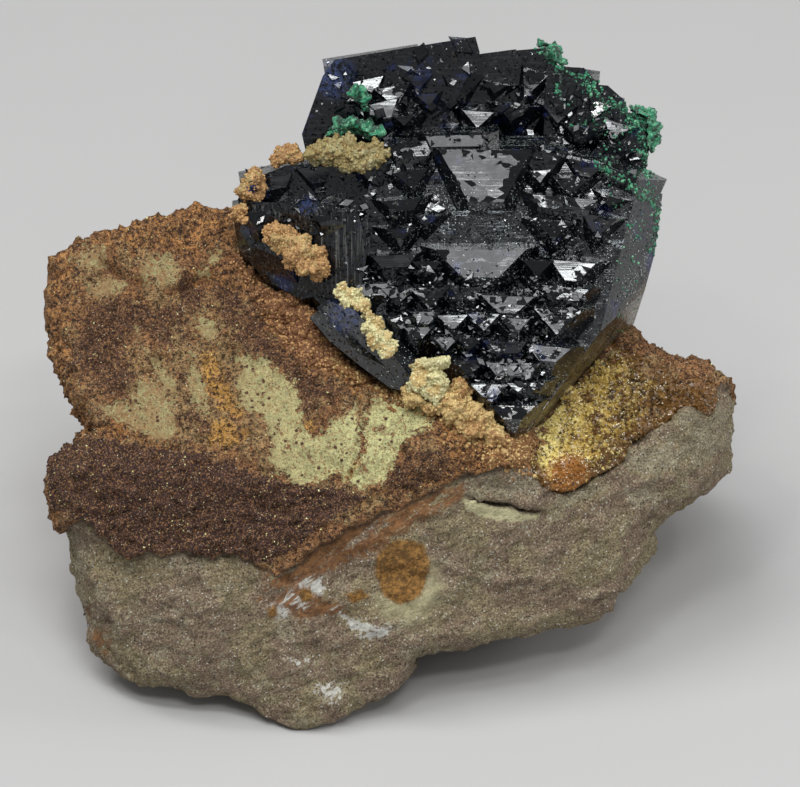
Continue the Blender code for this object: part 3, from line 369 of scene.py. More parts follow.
# Each kind of crust: its slot, the darker tint painted between its beads as shade, which also
# colours the lip grains all over, its second tint and how bright that is.
CRUST_KINDS = {
    "tan": ("tan_crust", (0.20, 0.085, 0.035), "rim", 0.8),
    "pale": ("pale_crust", (0.32, 0.22, 0.08), "rim", 1.0),
    "rim": ("tan_crust", (0.24, 0.11, 0.035), "tan", 1.0),
    "ochre": ("pale_crust", (0.20, 0.09, 0.02), "pale", 0.55),
}


# ---- settings ----
def length(name, text, value):
    """A size in metres that the user may change."""
    return FloatProperty(name=name, description=text, default=value, unit="LENGTH",
                         subtype="DISTANCE", precision=5, min=0.0)


def colour(name, text, value):
    """A finish's colour that the user may change."""
    return FloatVectorProperty(name=name, description=text, default=value, subtype="COLOR",
                               size=3, min=0.0, max=1.0)


def share(name, text, value, top=1.0):
    """A plain number from nothing to its top."""
    return FloatProperty(name=name, description=text, default=value, min=0.0, max=top,
                         subtype="FACTOR")


def power(name, text, value):
    """A lamp's power in watts that the user may change."""
    return FloatProperty(name=name, description=text, default=value, unit="POWER", min=0.0)


class StoneSettings(bpy.types.PropertyGroup):
    """Sizes and colours of the matrix stone."""

    voxel: length("Voxel", "Spacing of the stone's surface points", 0.00034)
    skin: length("Skin thickness", "How far the stained skin stands over the break", 0.00042)
    grit: length("Grit", "Height of the skin's grains", 0.00024)
    undulation: length("Undulation", "Height of the break's low swells", 0.0004)
    grain: length("Sparkling grain", "Size of the grains that glitter on the skin", 0.00022)
    fresh_tan: colour("Fresh tan", "The clean break's tan", (0.358, 0.28, 0.15))
    fresh_mauve: colour("Fresh mauve", "The clean break's mauve brown", (0.32, 0.22, 0.146))
    rust: colour("Rust", "The stained skin's middle tone", (0.37, 0.165, 0.066))
    orange: colour("Orange", "Fresh rust at the edges", (0.74, 0.335, 0.11))
    dark: colour("Dark stain", "Manganese and iron stain", (0.14, 0.062, 0.036))
    band: colour("Band", "The dark layer's purple brown", (0.112, 0.050, 0.042))
    cream: colour("Cream", "Bare clay under the skin", (0.95, 0.94, 0.45))
    ochre: colour("Ochre", "Limonite spots in the break", (0.50, 0.25, 0.06))
    honey: colour("Honey", "Yellow ochre streaks in the skin", (0.86, 0.46, 0.10))
    tan: colour("Tan", "Thin clay film on the skin", (0.50, 0.34, 0.155))
    white: colour("White", "Chalky patches", (0.86, 0.84, 0.76))
    yellow: colour("Yellow", "Pale yellow clay", (0.78, 0.72, 0.42))
    powder: colour("Powder", "Pale clay dust", (0.46, 0.41, 0.275))


class AzuriteSettings(bpy.types.PropertyGroup):
    """Finish and fine growth of the azurite."""

    body: colour("Body", "Almost black blue of thick azurite", (0.003, 0.0043, 0.0062))
    blue: colour("Blue", "Blue of thin edges and crusts", (0.008, 0.016, 0.068))
    bright_blue: colour("Bright blue", "Granular blue azurite", (0.03, 0.048, 0.13))
    worn: colour("Worn", "Dusty growth lines", (0.30, 0.30, 0.28))
    # Painted sparkle highlights: tiny bright flecks that stand in for glints of light.
    sparkle_highlight: colour("Fleck", "Tiny bright cleavage flecks", (0.72, 0.80, 0.76))
    dust: colour("Dust", "Olive brown dust where the crystals meet the stone", (0.21, 0.155, 0.07))
    polish: share("Roughness", "How dull the crystal faces are", 0.09)
    refraction: share("Index of refraction", "Azurite's index of refraction", 1.76, 3.0)
    step_height: share("Step thickness", "A growth step's thickness over its width", 0.34)


class DruseSettings(bpy.types.PropertyGroup):
    """Size and colours of the drusy crust."""

    voxel: length("Voxel", "Spacing of the crust's surface points", 0.0003)
    crystal: length("Crystal", "Width of the largest druse crystal", 0.00042)
    gold: colour("Gold", "The druse's honey colour", (0.54, 0.365, 0.09))
    brown: colour("Brown", "Iron-stained druse", (0.17, 0.08, 0.018))
    rust: colour("Rust", "The rustiest druse", (0.36, 0.15, 0.03))
    cream: colour("Cream", "Pale druse", (0.97, 0.82, 0.30))


class CrustSettings(bpy.types.PropertyGroup):
    """Size and colours of the small crusts."""

    voxel: length("Voxel", "Spacing of the crusts' surface points", 0.00013)
    bead: length("Bead", "Width of a crust's rounded beads", 0.0006)
    grain: length("Grain", "Width of the largest grains on the crusts", 0.00034)
    lip_grain: length("Lip grain", "Width of the largest grains along the lip", 0.0005)
    tan: colour("Tan", "Salmon tan crust", (0.50, 0.29, 0.115))
    pale: colour("Pale", "Pale yellow crust", (0.76, 0.70, 0.38))
    rim: colour("Rim", "Orange tan crust along the crystals", (0.62, 0.45, 0.19))
    ochre: colour("Ochre", "Ochre yellow crust", (0.34, 0.27, 0.11))


class MalachiteSettings(bpy.types.PropertyGroup):
    """Size and colours of the malachite."""

    voxel: length("Voxel", "Spacing of the solids' surface points", 0.00014)
    ball: length("Ball", "Width of the largest malachite ball", 0.00034)
    green: colour("Green", "Velvety green", (0.012, 0.22, 0.105))
    light: colour("Light green", "Pale green tips", (0.22, 0.52, 0.30))


class StageSettings(bpy.types.PropertyGroup):
    """Floor, lights and camera."""

    floor: colour("Floor", "Pale neutral floor", (0.515, 0.51, 0.505))
    sparkle: power("Sparkle lights", "Power of all the small sparkle lights", 0.7)
    soft: power("Soft light", "Power of the large soft light", 1.75)
    face: power("Face light", "Power of the light the faces mirror", 0.46)
    strip: power("Strip lights", "Power of each narrow light", 0.42)
    fill: power("Fill light", "Power of the low light on the right", 0.6)
    ambient: share("Ambient", "Brightness of the room", 0.24, 4.0)
    distance: length("Camera distance", "From the camera to the specimen", 0.6)
    lens: FloatProperty(name="Lens", description="Focal length in mm", default=300.0, min=1.0)


# ---- places ----
def on_face(points):
    """Row-frame points in metres, as across, up and out on the display face in mm."""
    x, y, z = (np.asarray(points, float) / MM - FACE_ORIGIN).T
    return np.stack([x, y * SIN_LEAN + z * COS_LEAN, z * SIN_LEAN - y * COS_LEAN], axis=1)


def from_face(across, up, out):
    """The row-frame point, in metres, of a place on the display face in mm."""
    place = (across, up * SIN_LEAN - out * COS_LEAN, up * COS_LEAN + out * SIN_LEAN)
    return (Vector(place) + Vector(FACE_ORIGIN)) * MM


def face_way(across, up, out):
    """A direction on the display face, in the row frame."""
    return (Vector((across, 0, 0)) + FACE_UP * up + FACE_OUT * out).normalized()


def outward(ways):
    """How squarely each point looks out of the display face."""
    return ways @ np.array(FACE_OUT)


def line_distance(points, line):
    """How far points are from a line through places."""
    best = np.full(len(points), np.inf)
    px, py = points[:, 0], points[:, 1]
    for (x0, y0), (x1, y1) in zip(line, line[1:]):
        dx, dy = x1 - x0, y1 - y0
        along = ((px - x0) * dx + (py - y0) * dy) / (dx * dx + dy * dy)
        along = np.clip(along, 0.0, 1.0)
        best = np.minimum(best, np.hypot(px - x0 - along * dx, py - y0 - along * dy))
    return best


def depth_inside(points, outline):
    """How far points are inside an outline; outside it is negative."""
    closed = outline + outline[:1]
    odd = np.zeros(len(points), bool)
    px, py = points[:, 0], points[:, 1]
    for (x0, y0), (x1, y1) in zip(closed, closed[1:]):
        if y0 != y1:
            crossing = (y0 > py) != (y1 > py)
            odd ^= crossing & (px < x0 + (x1 - x0) * (py - y0) / (y1 - y0))
    away = line_distance(points, closed)
    return np.where(odd, away, -away)


def ramp(values, low, high):
    """Values as a smooth rise from 0 at low to 1 at high."""
    t = np.clip((values - low) / (high - low), 0.0, 1.0)
    return t * t * (3 - 2 * t)


def random_inside(outline, density, dice):
    """Seeded random places inside an outline on the display face."""
    xs, ys = zip(*outline)
    count = int((max(xs) - min(xs)) * (max(ys) - min(ys)) * density)
    spots = np.array([(dice.uniform(min(xs), max(xs)), dice.uniform(min(ys), max(ys)))
                      for _ in range(count)])
    return spots[depth_inside(spots, outline) > 0]


def tree_of(mesh):
    """A search tree of a mesh's faces."""
    return BVHTree.FromPolygons([v.co for v in mesh.vertices],
                                [p.vertices for p in mesh.polygons])


def seen_on(tree, across, up):
    """Where a line into the display face first meets the tree, if it does."""
    return tree.ray_cast(from_face(across, up, RAY_START), -FACE_OUT)[0]


def seen_inside(tree, outline, density, dice):
    """Seeded random places inside an outline, brought down onto the tree."""
    seen = (seen_on(tree, across, up) for across, up in random_inside(outline, density, dice))
    return [spot for spot in seen if spot is not None]


def spots_along(tree, runs, dice):
    """Seeds along runs of places: places, how far they spread and how many for a mm."""
    spots = []
    for places, spread, density in runs:
        for (x0, y0), (x1, y1) in zip(places, places[1:]):
            for _ in range(int(math.hypot(x1 - x0, y1 - y0) * density)):
                part = dice.random()
                across = x0 + (x1 - x0) * part + dice.gauss(0, spread * 0.5)
                up = y0 + (y1 - y0) * part + dice.gauss(0, spread * 0.5)
                spot = seen_on(tree, across, up)
                if spot is None:
                    spot = tree.find_nearest(from_face(across, up, EDGE_DEPTH), EDGE_REACH)[0]
                if spot is not None:
                    spots.append(spot)
    return spots


# ---- meshes ----
@contextmanager
def edited(mesh):
    """A mesh's points, edges and faces to change; at the end they go back into the mesh."""
    bm = bmesh.new()
    bm.from_mesh(mesh)
    yield bm
    bm.to_mesh(mesh)
    bm.free()


def merged_copy(node):
    """A CAD node's mesh with its loose triangles joined."""
    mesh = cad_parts[node].data.copy()
    with edited(mesh) as bm:
        bmesh.ops.remove_doubles(bm, verts=bm.verts, dist=MERGE_DISTANCE)
    mesh.materials.clear()
    return mesh


def placed(name, data):
    """A new object in the scene at the origin."""
    obj = bpy.data.objects.new(name, data)
    bpy.context.scene.collection.objects.link(obj)
    return obj


def discard(obj):
    """Takes a working object and its mesh out of the file."""
    mesh = obj.data
    bpy.data.objects.remove(obj)
    bpy.data.meshes.remove(mesh)


def evaluated_mesh(obj):
    """The object's mesh with its modifiers worked in."""
    shown = bpy.context.evaluated_depsgraph_get()
    return bpy.data.meshes.new_from_object(obj.evaluated_get(shown), depsgraph=shown)


def without_islands(mesh):
    """The mesh with only its largest joined part."""
    ends = np.empty(len(mesh.edges) * 2, np.int32)
    mesh.edges.foreach_get("vertices", ends)
    first, last = ends.reshape(-1, 2).T
    part = np.arange(len(mesh.vertices))
    changed = True
    while changed:
        before = part.copy()
        low = np.minimum(part[first], part[last])
        np.minimum.at(part, first, low)
        np.minimum.at(part, last, low)
        part = part[part]
        changed = bool((part != before).any())
    largest = np.bincount(part).argmax()
    with edited(mesh) as bm:
        strays = [v for v in bm.verts if part[v.index] != largest]
        bmesh.ops.delete(bm, geom=strays, context="VERTS")
    return mesh


def remeshed(node, voxel, smoothing, fillers=(), radius=0.0):
    """A CAD node, with round fillers at some places, as an even closed skin of small faces."""
    work = placed(node + "_work", merged_copy(node))
    with edited(work.data) as bm:
        for place in fillers:
            bmesh.ops.create_icosphere(bm, subdivisions=2, radius=radius,
                                       matrix=Matrix.Translation(place))
    skin = work.modifiers.new("skin", "REMESH")
    skin.mode = "VOXEL"
    skin.voxel_size = voxel
    soft = work.modifiers.new("soft", "SMOOTH")
    soft.factor = 0.5
    soft.iterations = smoothing
    mesh = evaluated_mesh(work)
    discard(work)
    return without_islands(mesh)


def joined(meshes):
    """One mesh from several, with what they keep on their points."""
    bm = bmesh.new()
    for mesh in meshes:
        bm.from_mesh(mesh)
    whole = bpy.data.meshes.new("joined")
    bm.to_mesh(whole)
    bm.free()
    return whole


def points_of(mesh):
    """A mesh's points and their normals, as arrays."""
    spots = np.empty(len(mesh.vertices) * 3, np.float32)
    ways = np.empty_like(spots)
    mesh.vertices.foreach_get("co", spots)
    mesh.vertex_normals.foreach_get("vector", ways)
    return spots.reshape(-1, 3).astype(float), ways.reshape(-1, 3).astype(float)


def pushed(spots, ways, rise):
    """Points moved along their normals by a rise in mm."""
    return spots + ways * rise[:, None] * MM


def set_points(mesh, spots):
    """Moves a mesh's points."""
    mesh.vertices.foreach_set("co", spots.astype(np.float32).ravel())
    mesh.update()


def keep(mesh, domain="POINT", **layers):
    """Keeps numbers or directions for each point or face, by name."""
    for name, values in layers.items():
        values = np.asarray(values, np.float32)
        kind, field = ("FLOAT_VECTOR", "vector") if values.ndim == 2 else ("FLOAT", "value")
        mesh.attributes.new(name, kind, domain).data.foreach_set(field, values.ravel())


def kept(mesh, name):
    """The numbers kept for each point under a name."""
    values = np.empty(len(mesh.vertices), np.float32)
    mesh.attributes[name].data.foreach_get("value", values)
    return values


def seedbed(name, spots, **layers):
    """A mesh of loose points, each with its own numbers or directions."""
    mesh = bpy.data.meshes.new(name)
    mesh.from_pydata([tuple(p) for p in spots], [], [])
    keep(mesh, **layers)
    return mesh


def noise_places(spots, size, seed):
    """Points as places in a noise whose features have that size in mm."""
    shift = Vector([seed * step for step in SEED_STEPS])
    scale = 1 / (size * MM)
    return [Vector(p) * scale + shift for p in spots]


def grain_field(spots, size, seed, octaves=2):
    """Noise from -1 to 1 with features of that size in mm."""
    return np.array([noise.fractal(p, 0.7, 2.1, octaves)
                     for p in noise_places(spots, size, seed)])


def bead_field(spots, size, seed):
    """Rounded beads of that width in mm, from 0 between beads to 1 on top."""
    near = np.array([noise.voronoi(p)[0][0] for p in noise_places(spots, size, seed)])
    return np.sqrt(np.clip(1 - near * near, 0.0, 1.0))


def finish_piece(obj, finish, nodes=()):
    """Gives a piece its finish and its body, and hides the CAD nodes it stands for."""
    if finish:
        obj.data.materials.clear()
        obj.data.materials.append(finish)
    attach(obj, BODY)
    if nodes:
        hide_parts(*nodes)
    return obj


# ---- node trees ----
class Tree:
    """Adds nodes to a node tree and joins them."""

    def __init__(self, tree):
        self.tree = tree
        self.tree.nodes.clear()

    def plug(self, socket, value):
        """Gives an input its value, or joins it to another node's output."""
        if isinstance(value, bpy.types.NodeSocket):
            self.tree.links.new(value, socket)
        else:
            socket.default_value = (*value[:3], 1.0) if socket.type == "RGBA" else value

    def node(self, kind, inputs=None, **settings):
        """A node with settings, and inputs by name or number as values or sockets."""
        made = self.tree.nodes.new(kind)
        for key, value in settings.items():
            setattr(made, key, value)
        for key, value in (inputs or {}).items():
            self.plug(made.inputs[key], value)
        return made

    def maths(self, kind, *values):
        """One step of arithmetic."""
        return self.node("ShaderNodeMath", dict(enumerate(values)), operation=kind).outputs[0]

    def times(self, first, second):
        """Two numbers multiplied."""
        return self.maths("MULTIPLY", first, second)

    def vector(self, kind, *values):
        """One step of vector arithmetic; a dot product or distance is a number."""
        made = self.node("ShaderNodeVectorMath", dict(enumerate(values)), operation=kind)
        return made.outputs[1 if kind in ("DOT_PRODUCT", "DISTANCE") else 0]

    def rise(self, value, low, high):
        """Value as a smooth rise from 0 at low to 1 at high."""
        return self.node("ShaderNodeMapRange", {0: value, 1: low, 2: high},
                         interpolation_type="SMOOTHSTEP").outputs[0]


class Finish(Tree):
    """A material's node tree, with its textures on Object coordinates."""

    def __init__(self, name):
        self.material = bpy.data.materials.new(name)
        self.material.use_nodes = True
        super().__init__(self.material.node_tree)
        self.place = self.node("ShaderNodeTexCoord").outputs["Object"]
        self.on_face = self.node("ShaderNodeMapping", {
            "Vector": self.place, "Rotation": (FACE_LEAN - math.pi / 2, 0.0, 0.0),
            "Location": tuple(on_face([(0.0, 0.0, 0.0)])[0] * MM)}).outputs[0]
        self.surface = self.node("ShaderNodeBsdfPrincipled")
        self.node("ShaderNodeOutputMaterial", {"Surface": self.surface.outputs[0]})

    def textured(self, kind, size, place, stretch, **inputs):
        """A texture's outputs, with features of that size in mm."""
        place = place or self.place
        if stretch:
            place = self.vector("MULTIPLY", place, stretch)
        return self.node(kind, {"Vector": place, "Scale": 1 / (size * MM), **inputs}).outputs

    def noise(self, size, detail=3.0, rough=0.55, place=None, stretch=None):
        """Cloudy noise from 0 to 1 with features of that size in mm."""
        return self.textured("ShaderNodeTexNoise", size, place, stretch, Detail=detail,
                             Roughness=rough)["Fac"]

    def cells(self, size, place=None, stretch=None):
        """Grains of that size in mm: nearness to a grain's middle, and its random colour."""
        made = self.textured("ShaderNodeTexVoronoi", size, place, stretch)
        return made["Distance"], made["Color"]

    def turned(self, angle):
        """Places on the display face, turned in its plane."""
        return self.node("ShaderNodeMapping", {
            "Vector": self.on_face, "Rotation": (0.0, 0.0, angle)}).outputs[0]

    def along(self, axis):
        """How far a place is across the display face (0) or up it (1), in metres."""
        return self.node("ShaderNodeSeparateXYZ", {0: self.on_face}).outputs[axis]

    def away(self, spot):
        """How far a place is from a spot on the display face, in metres. The spot is in mm."""
        flat = self.vector("MULTIPLY", self.on_face, (1.0, 1.0, 0.0))
        return self.vector("DISTANCE", flat, (spot[0] * MM, spot[1] * MM, 0.0))

    def scaled(self, way, amount):
        """A direction made longer or shorter."""
        return self.node("ShaderNodeVectorMath", {0: way, "Scale": amount},
                         operation="SCALE").outputs[0]

    def parts(self, tint):
        """A colour's three numbers."""
        return self.node("ShaderNodeSeparateColor", {0: tint}).outputs

    def flecks(self, size, amount, reach=0.32):
        """Small dots in a share of the grains. The amount may be a socket."""
        near, tint = self.cells(size)
        lucky = self.maths("LESS_THAN", self.parts(tint)[0], amount)
        return self.times(lucky, self.rise(near, reach, reach * 0.6))

    def mix(self, amount, first, second):
        """One colour over another."""
        return self.node("ShaderNodeMix", {"Factor": amount, 6: first, 7: second},
                         data_type="RGBA").outputs[2]

    def blend(self, amount, first, second):
        """One number over another."""
        return self.node("ShaderNodeMix", {"Factor": amount, 2: first, 3: second},
                         data_type="FLOAT").outputs[0]

    def covered(self, tint, *layers):
        """Colours laid over a colour: where each shows, how strong it is, and the colour."""
        for amount, strength, over in layers:
            tint = self.mix(self.times(amount, strength), tint, over)
        return tint

    def attribute(self, name):
        """A number kept on the piece's points."""
        return self.node("ShaderNodeAttribute", attribute_name=name).outputs["Fac"]

    def facing(self, way):
        """How squarely the face looks that way."""
        normal = self.node("ShaderNodeNewGeometry").outputs["True Normal"]
        return self.vector("DOT_PRODUCT", normal, tuple(way))

    def bump(self, height, reach, strength=1.0, under=None):
        """Relief of that height in metres, over another relief."""
        inputs = {"Height": height, "Distance": reach, "Strength": strength}
        if under is not None:
            inputs["Normal"] = under
        return self.node("ShaderNodeBump", inputs).outputs[0]

    def set(self, **values):
        """Sets the surface's inputs; underscores stand for spaces."""
        for key, value in values.items():
            self.plug(self.surface.inputs[key.replace("_", " ")], value)
        return self.material


class Growth(Tree):
    """A Geometry Nodes tree that grows small closed shapes on a mesh."""

    def __init__(self, name, sizes):
        self.name = name
        self.group = bpy.data.node_groups.new(name, "GeometryNodeTree")
        super().__init__(self.group)
        face = self.group.interface
        for way in ("OUTPUT", "INPUT"):
            face.new_socket(name="Geometry", in_out=way, socket_type="NodeSocketGeometry")
        self.values = {}
        for label, value in sizes.items():
            kind = "NodeSocketInt" if isinstance(value, int) else "NodeSocketFloat"
            socket = face.new_socket(name=label, in_out="INPUT", socket_type=kind)
            socket.default_value = value
            self.values[socket.identifier] = value
        self.start = self.node("NodeGroupInput")

    def size(self, label):
        """A named input's socket."""
        return self.start.outputs[label]

    def named(self, label, kind="FLOAT"):
        """A number or direction kept on the mesh's points."""
        return self.node("GeometryNodeInputNamedAttribute", {"Name": label},
                         data_type=kind).outputs[0]

    def random(self, low, high, seed, kind="FLOAT"):
        """A seeded random number or direction for each point."""
        first, last, result = {"FLOAT": (2, 3, 1), "FLOAT_VECTOR": (0, 1, 0)}[kind]
        return self.node("FunctionNodeRandomValue", {first: low, last: high, "Seed": seed},
                         data_type=kind).outputs[result]

    def spin(self, angles):
        """A turn from three angles."""
        return self.node("FunctionNodeEulerToRotation", {0: angles}).outputs[0]

    def lowered(self, mesh, drop):
        """A shape moved down, so that it sits in what it grows on."""
        return self.node("GeometryNodeTransform", {
            "Geometry": mesh, "Translation": (0.0, 0.0, -drop)}).outputs[0]

    def grow(self, points, shape, turn, scale, finish):
        """The shape on every point as real faces with its finish and a random tone."""
        grown = self.node("GeometryNodeInstanceOnPoints", {
            "Points": points, "Instance": shape, "Rotation": turn, "Scale": scale}).outputs[0]
        marked = self.node("GeometryNodeStoreNamedAttribute", {
            "Geometry": grown, "Name": "tone", "Value": self.random(0.0, 1.0, seed=91)},
            data_type="FLOAT", domain="INSTANCE").outputs[0]
        real = self.node("GeometryNodeRealizeInstances", {0: marked}).outputs[0]
        coated = self.node("GeometryNodeSetMaterial", {"Geometry": real, "Material": finish})
        self.node("NodeGroupOutput", {0: coated.outputs[0]})

    def piece(self, bed, slot):
        """The finished growth on a seedbed mesh, as a piece with the tree's name."""
        work = placed(self.name + "_seedbed", bed)
        modifier = work.modifiers.new("growth", "NODES")
        modifier.node_group = self.group
        for identifier, value in self.values.items():
            modifier[identifier] = value
        mesh = evaluated_mesh(work)
        work.modifiers.remove(modifier)
        discard(work)
        return finish_piece(placed(self.name, mesh), None)


def grow_crystals(tree, finish, steepness, lean):
    """Pointed crystals spread over a mesh by its cover, leaning at random."""
    spread = tree.node("GeometryNodeDistributePointsOnFaces", {
        "Mesh": tree.size("Geometry"), "Seed": 5,
        "Density": tree.times(tree.size("Density"), tree.named("cover"))}).outputs
    cone = tree.node("GeometryNodeMeshCone", {
        "Vertices": tree.size("Sides"), "Radius Top": 0.06, "Radius Bottom": 0.5,
        "Depth": steepness}).outputs["Mesh"]
    nudge = tree.random((-lean, -lean, -ANY_TURN), (lean, lean, ANY_TURN), 23, "FLOAT_VECTOR")
    turn = tree.node("FunctionNodeRotateRotation", {
        "Rotation": spread["Rotation"], "Rotate By": tree.spin(nudge)},
        rotation_space="LOCAL").outputs[0]
    scale = tree.random(tree.size("Smallest"), tree.size("Largest"), seed=37)
    tree.grow(spread["Points"], tree.lowered(cone, 0.3 * steepness), turn, scale, finish)


def grow_steps(tree, finish):
    """Low flat-topped steps, each turned and stretched as its seed says."""
    cone = tree.node("GeometryNodeMeshCone", {
        "Vertices": tree.size("Sides"), "Radius Top": tree.size("Top share"),
        "Radius Bottom": 1.0, "Depth": 2.0}).outputs["Mesh"]
    turn = tree.spin(tree.named("turn", "FLOAT_VECTOR"))
    tree.grow(tree.size("Geometry"), tree.lowered(cone, 1.0), turn,
              tree.named("stretch", "FLOAT_VECTOR"), finish)


def grow_balls(tree, points, finish):
    """Small round balls of random size on points."""
    ball = tree.node("GeometryNodeMeshIcoSphere", {"Radius": 0.5, "Subdivisions": 1})
    smooth = tree.node("GeometryNodeSetShadeSmooth", {"Geometry": ball.outputs["Mesh"]})
    nudge = tree.random([-ANY_TURN] * 3, [ANY_TURN] * 3, 53, "FLOAT_VECTOR")
    scale = tree.random(tree.size("Smallest"), tree.size("Largest"), seed=59)
    tree.grow(points, smooth.outputs[0], tree.spin(nudge), scale, finish)


# ---- finishes ----
# The ways that the brightest facets and the ledges face.
GLINT_WAY = face_way(0.0, *GLINT_SLANT)
LEDGE_WAY = face_way(0.0, 0.97, 0.24)


def toned(tint, part, top=0.9):
    """A colour made darker or lighter, and nowhere brighter than the top."""
    return [min(c * part, top) for c in tint]


class StoneFinish(Finish):
    """The stone's node tree, with its patterns by name and its stains."""

    def __init__(self):
        super().__init__("iron_stained_stone")
        self.patterns = {
            name: self.noise(size, detail, rough, turn and self.turned(turn), stretch)
            for name, (size, detail, rough, turn, stretch) in STONE_PATTERNS.items()}
        self.ragged = self.maths("SUBTRACT", self.patterns["ragged"], 0.5)

    def where(self, name, start, full):
        """How much of a pattern shows, from where it starts to where it is full."""
        return self.rise(self.patterns[name], start, full)

    def stain(self, name, wobble, soft):
        """How much of a stain shows, with a ragged edge."""
        moved = self.maths("MULTIPLY_ADD", self.ragged, wobble, self.attribute(name))
        return self.rise(moved, -soft, soft)

    def layered(self, base, *rows):
        """Patterns laid over a colour: name, start, full, strength and colour."""
        return self.covered(base, *((self.where(name, start, full), strength, tint)
                                    for name, start, full, strength, tint in rows))


def fresh_break(t, look):
    """The clean sandy break below the skin, with its chalk, rust and yellow clay, painted shade
    and highlight for its fine relief, and a painted shadow under the skin's edge.
    """
    # Darker and lighter copies of the break's colours, laid where its relief lies low and high:
    # painted shade and highlight, mixed in with its own light and dark grit.
    shade, light = toned(look.fresh_mauve, 0.4), toned(look.powder, 1.5)
    dusted = t.maths("MULTIPLY_ADD", t.stain("powder", 3.0, 1.6), 0.12, t.patterns["blotch"])
    chalk = t.times(t.stain("white", 3.4, 0.18), t.where("streaks", 0.36, 0.42))
    streaked = t.times(t.stain("rust_streaks", 3.0, 0.4), t.where("streaks", 0.57, 0.53))
    rust = t.mix(t.where("grit", 0.42, 0.58), toned(look.rust, 0.6), toned(look.orange, 0.5))
    spot = t.mix(t.where("grit", 0.6, 0.42), look.ochre, toned(look.ochre, 0.4))
    # Just below the skin's overhanging edge the break is darkened: a painted shadow.
    skin_edge_shadow = t.rise(t.attribute("skin"), -0.55, -0.05)
    tint = t.mix(t.where("cloud", 0.44, 0.54), look.fresh_tan, look.fresh_mauve)
    tint = t.covered(tint, (t.rise(dusted, 0.54, 0.62), 0.7, look.powder))
    tint = t.layered(
        tint,
        ("streaks", 0.44, 0.34, 0.4, look.fresh_mauve),
        ("splinters", 0.45, 0.36, 0.35, shade), ("splinters", 0.58, 0.66, 0.35, light),
        ("grit", 0.46, 0.36, 0.45, shade), ("grit", 0.55, 0.66, 0.35, light),
        ("speck", 0.47, 0.38, 0.75, shade), ("speck", 0.55, 0.63, 0.7, light))
    return t.covered(
        tint,
        (t.flecks(0.21, 0.07, 0.48), 1.0, toned(look.fresh_mauve, 0.2)),
        (t.flecks(0.19, 0.05, 0.48), 1.0, look.white),
        (chalk, 0.95, look.white), (streaked, 0.95, rust),
        (t.stain("halo", 2.0, 1.2), 0.65, look.yellow),
        (t.stain("yellow", 1.0, 0.2), 1.0, look.yellow),
        (t.stain("spot", 1.0, 0.2), 1.0, spot),
        (skin_edge_shadow, 0.6, toned(look.fresh_mauve, 0.22)))


def bare_clay(t, look):
    """The pale clay that shows where the skin has worn off, with dark dots painted as the shade in
    its small pits.
    """
    clay = t.mix(t.rise(t.along(0), -0.024, 0.002), look.tan, look.cream)
    clay = t.layered(
        clay,
        ("clump", 0.46, 0.56, 0.8, toned(look.cream, 0.62)), ("grit", 0.48, 0.38, 0.7, look.tan),
        ("speck", 0.47, 0.38, 0.65, look.rust), ("cracks", 0.42, 0.38, 0.8, look.rust))
    # Dark dots for the clay's small pits: painted shade.
    return t.covered(clay, (t.flecks(0.5, 0.14, 0.4), 1.0, look.dark),
                     (t.flecks(0.26, 0.1), 1.0, toned(look.dark, 0.5)))


def stained_skin(t, look):
    """The old iron-stained skin, with its dark band, the clay where it has worn off, and painted
    shade and highlight on its grains.
    """
    orange, dark = t.stain("orange", 5.0, 0.35), t.stain("dark", 5.0, 0.35)
    band = t.stain("band", 2.4, 0.15)
    rusty = t.mix(t.where("grit", 0.52, 0.46), look.rust, toned(look.rust, 0.35))
    rusty = t.mix(t.where("clump", 0.44, 0.54), look.orange, rusty)
    layer = t.mix(t.where("clump", 0.44, 0.6), look.band, toned(look.band, 0.62))
    skin = t.mix(t.where("cloud", 0.44, 0.56), look.rust, look.tan)
    skin = t.layered(skin, ("clump", 0.5, 0.58, 1.0, look.rust))
    skin = t.mix(orange, skin, rusty)
    skin = t.layered(skin, ("runs", 0.46, 0.38, 0.6, look.dark),
                     ("clump", 0.36, 0.42, dark, look.dark),
                     ("runs", 0.45, 0.52, t.stain("tan", 5.0, 0.3), look.tan))
    skin = t.mix(band, skin, layer)

    # Painted highlights on the grains, and light knots: the band and the dark stains get fewer of
    # them.
    shaded = t.maths("MAXIMUM", band, t.times(dark, 0.6))
    lit_share = t.maths("MULTIPLY_ADD", shaded, -0.8, 0.85)
    middling = [(a + b) / 2 for a, b in zip(look.tan, look.orange)]
    skin = t.layered(
        skin,
        ("runs", 0.37, 0.44, t.stain("ochre", 4.0, 0.3), look.honey),
        ("knot", 0.47, 0.38, 0.75, look.dark),
        ("knot", 0.58, 0.67, lit_share, t.mix(orange, middling, look.orange)),
        # Dark grit and specks where the relief's grit and specks lie low: painted shade between
        # the grains.
        ("grit", 0.49, 0.42, 0.9, toned(look.dark, 0.28)),
        ("speck", 0.48, 0.37, 0.85, toned(look.dark, 0.3)))
    # A lighter copy of the skin's colours, put on the tops of the specks and grit: painted
    # highlight.
    grain_highlight = t.mix(0.5, skin, t.mix(orange, toned(middling, 1.45), toned(look.orange, 1.5)))
    skin = t.layered(skin, ("speck", 0.54, 0.62, 1.0, grain_highlight), ("grit", 0.55, 0.61, lit_share, grain_highlight),
                     ("clump", 0.62, 0.58, t.stain("cream", 3.4, 0.14), bare_clay(t, look)))
    return t.mix(t.flecks(0.18, 0.05), skin, toned(look.cream, 1.5))


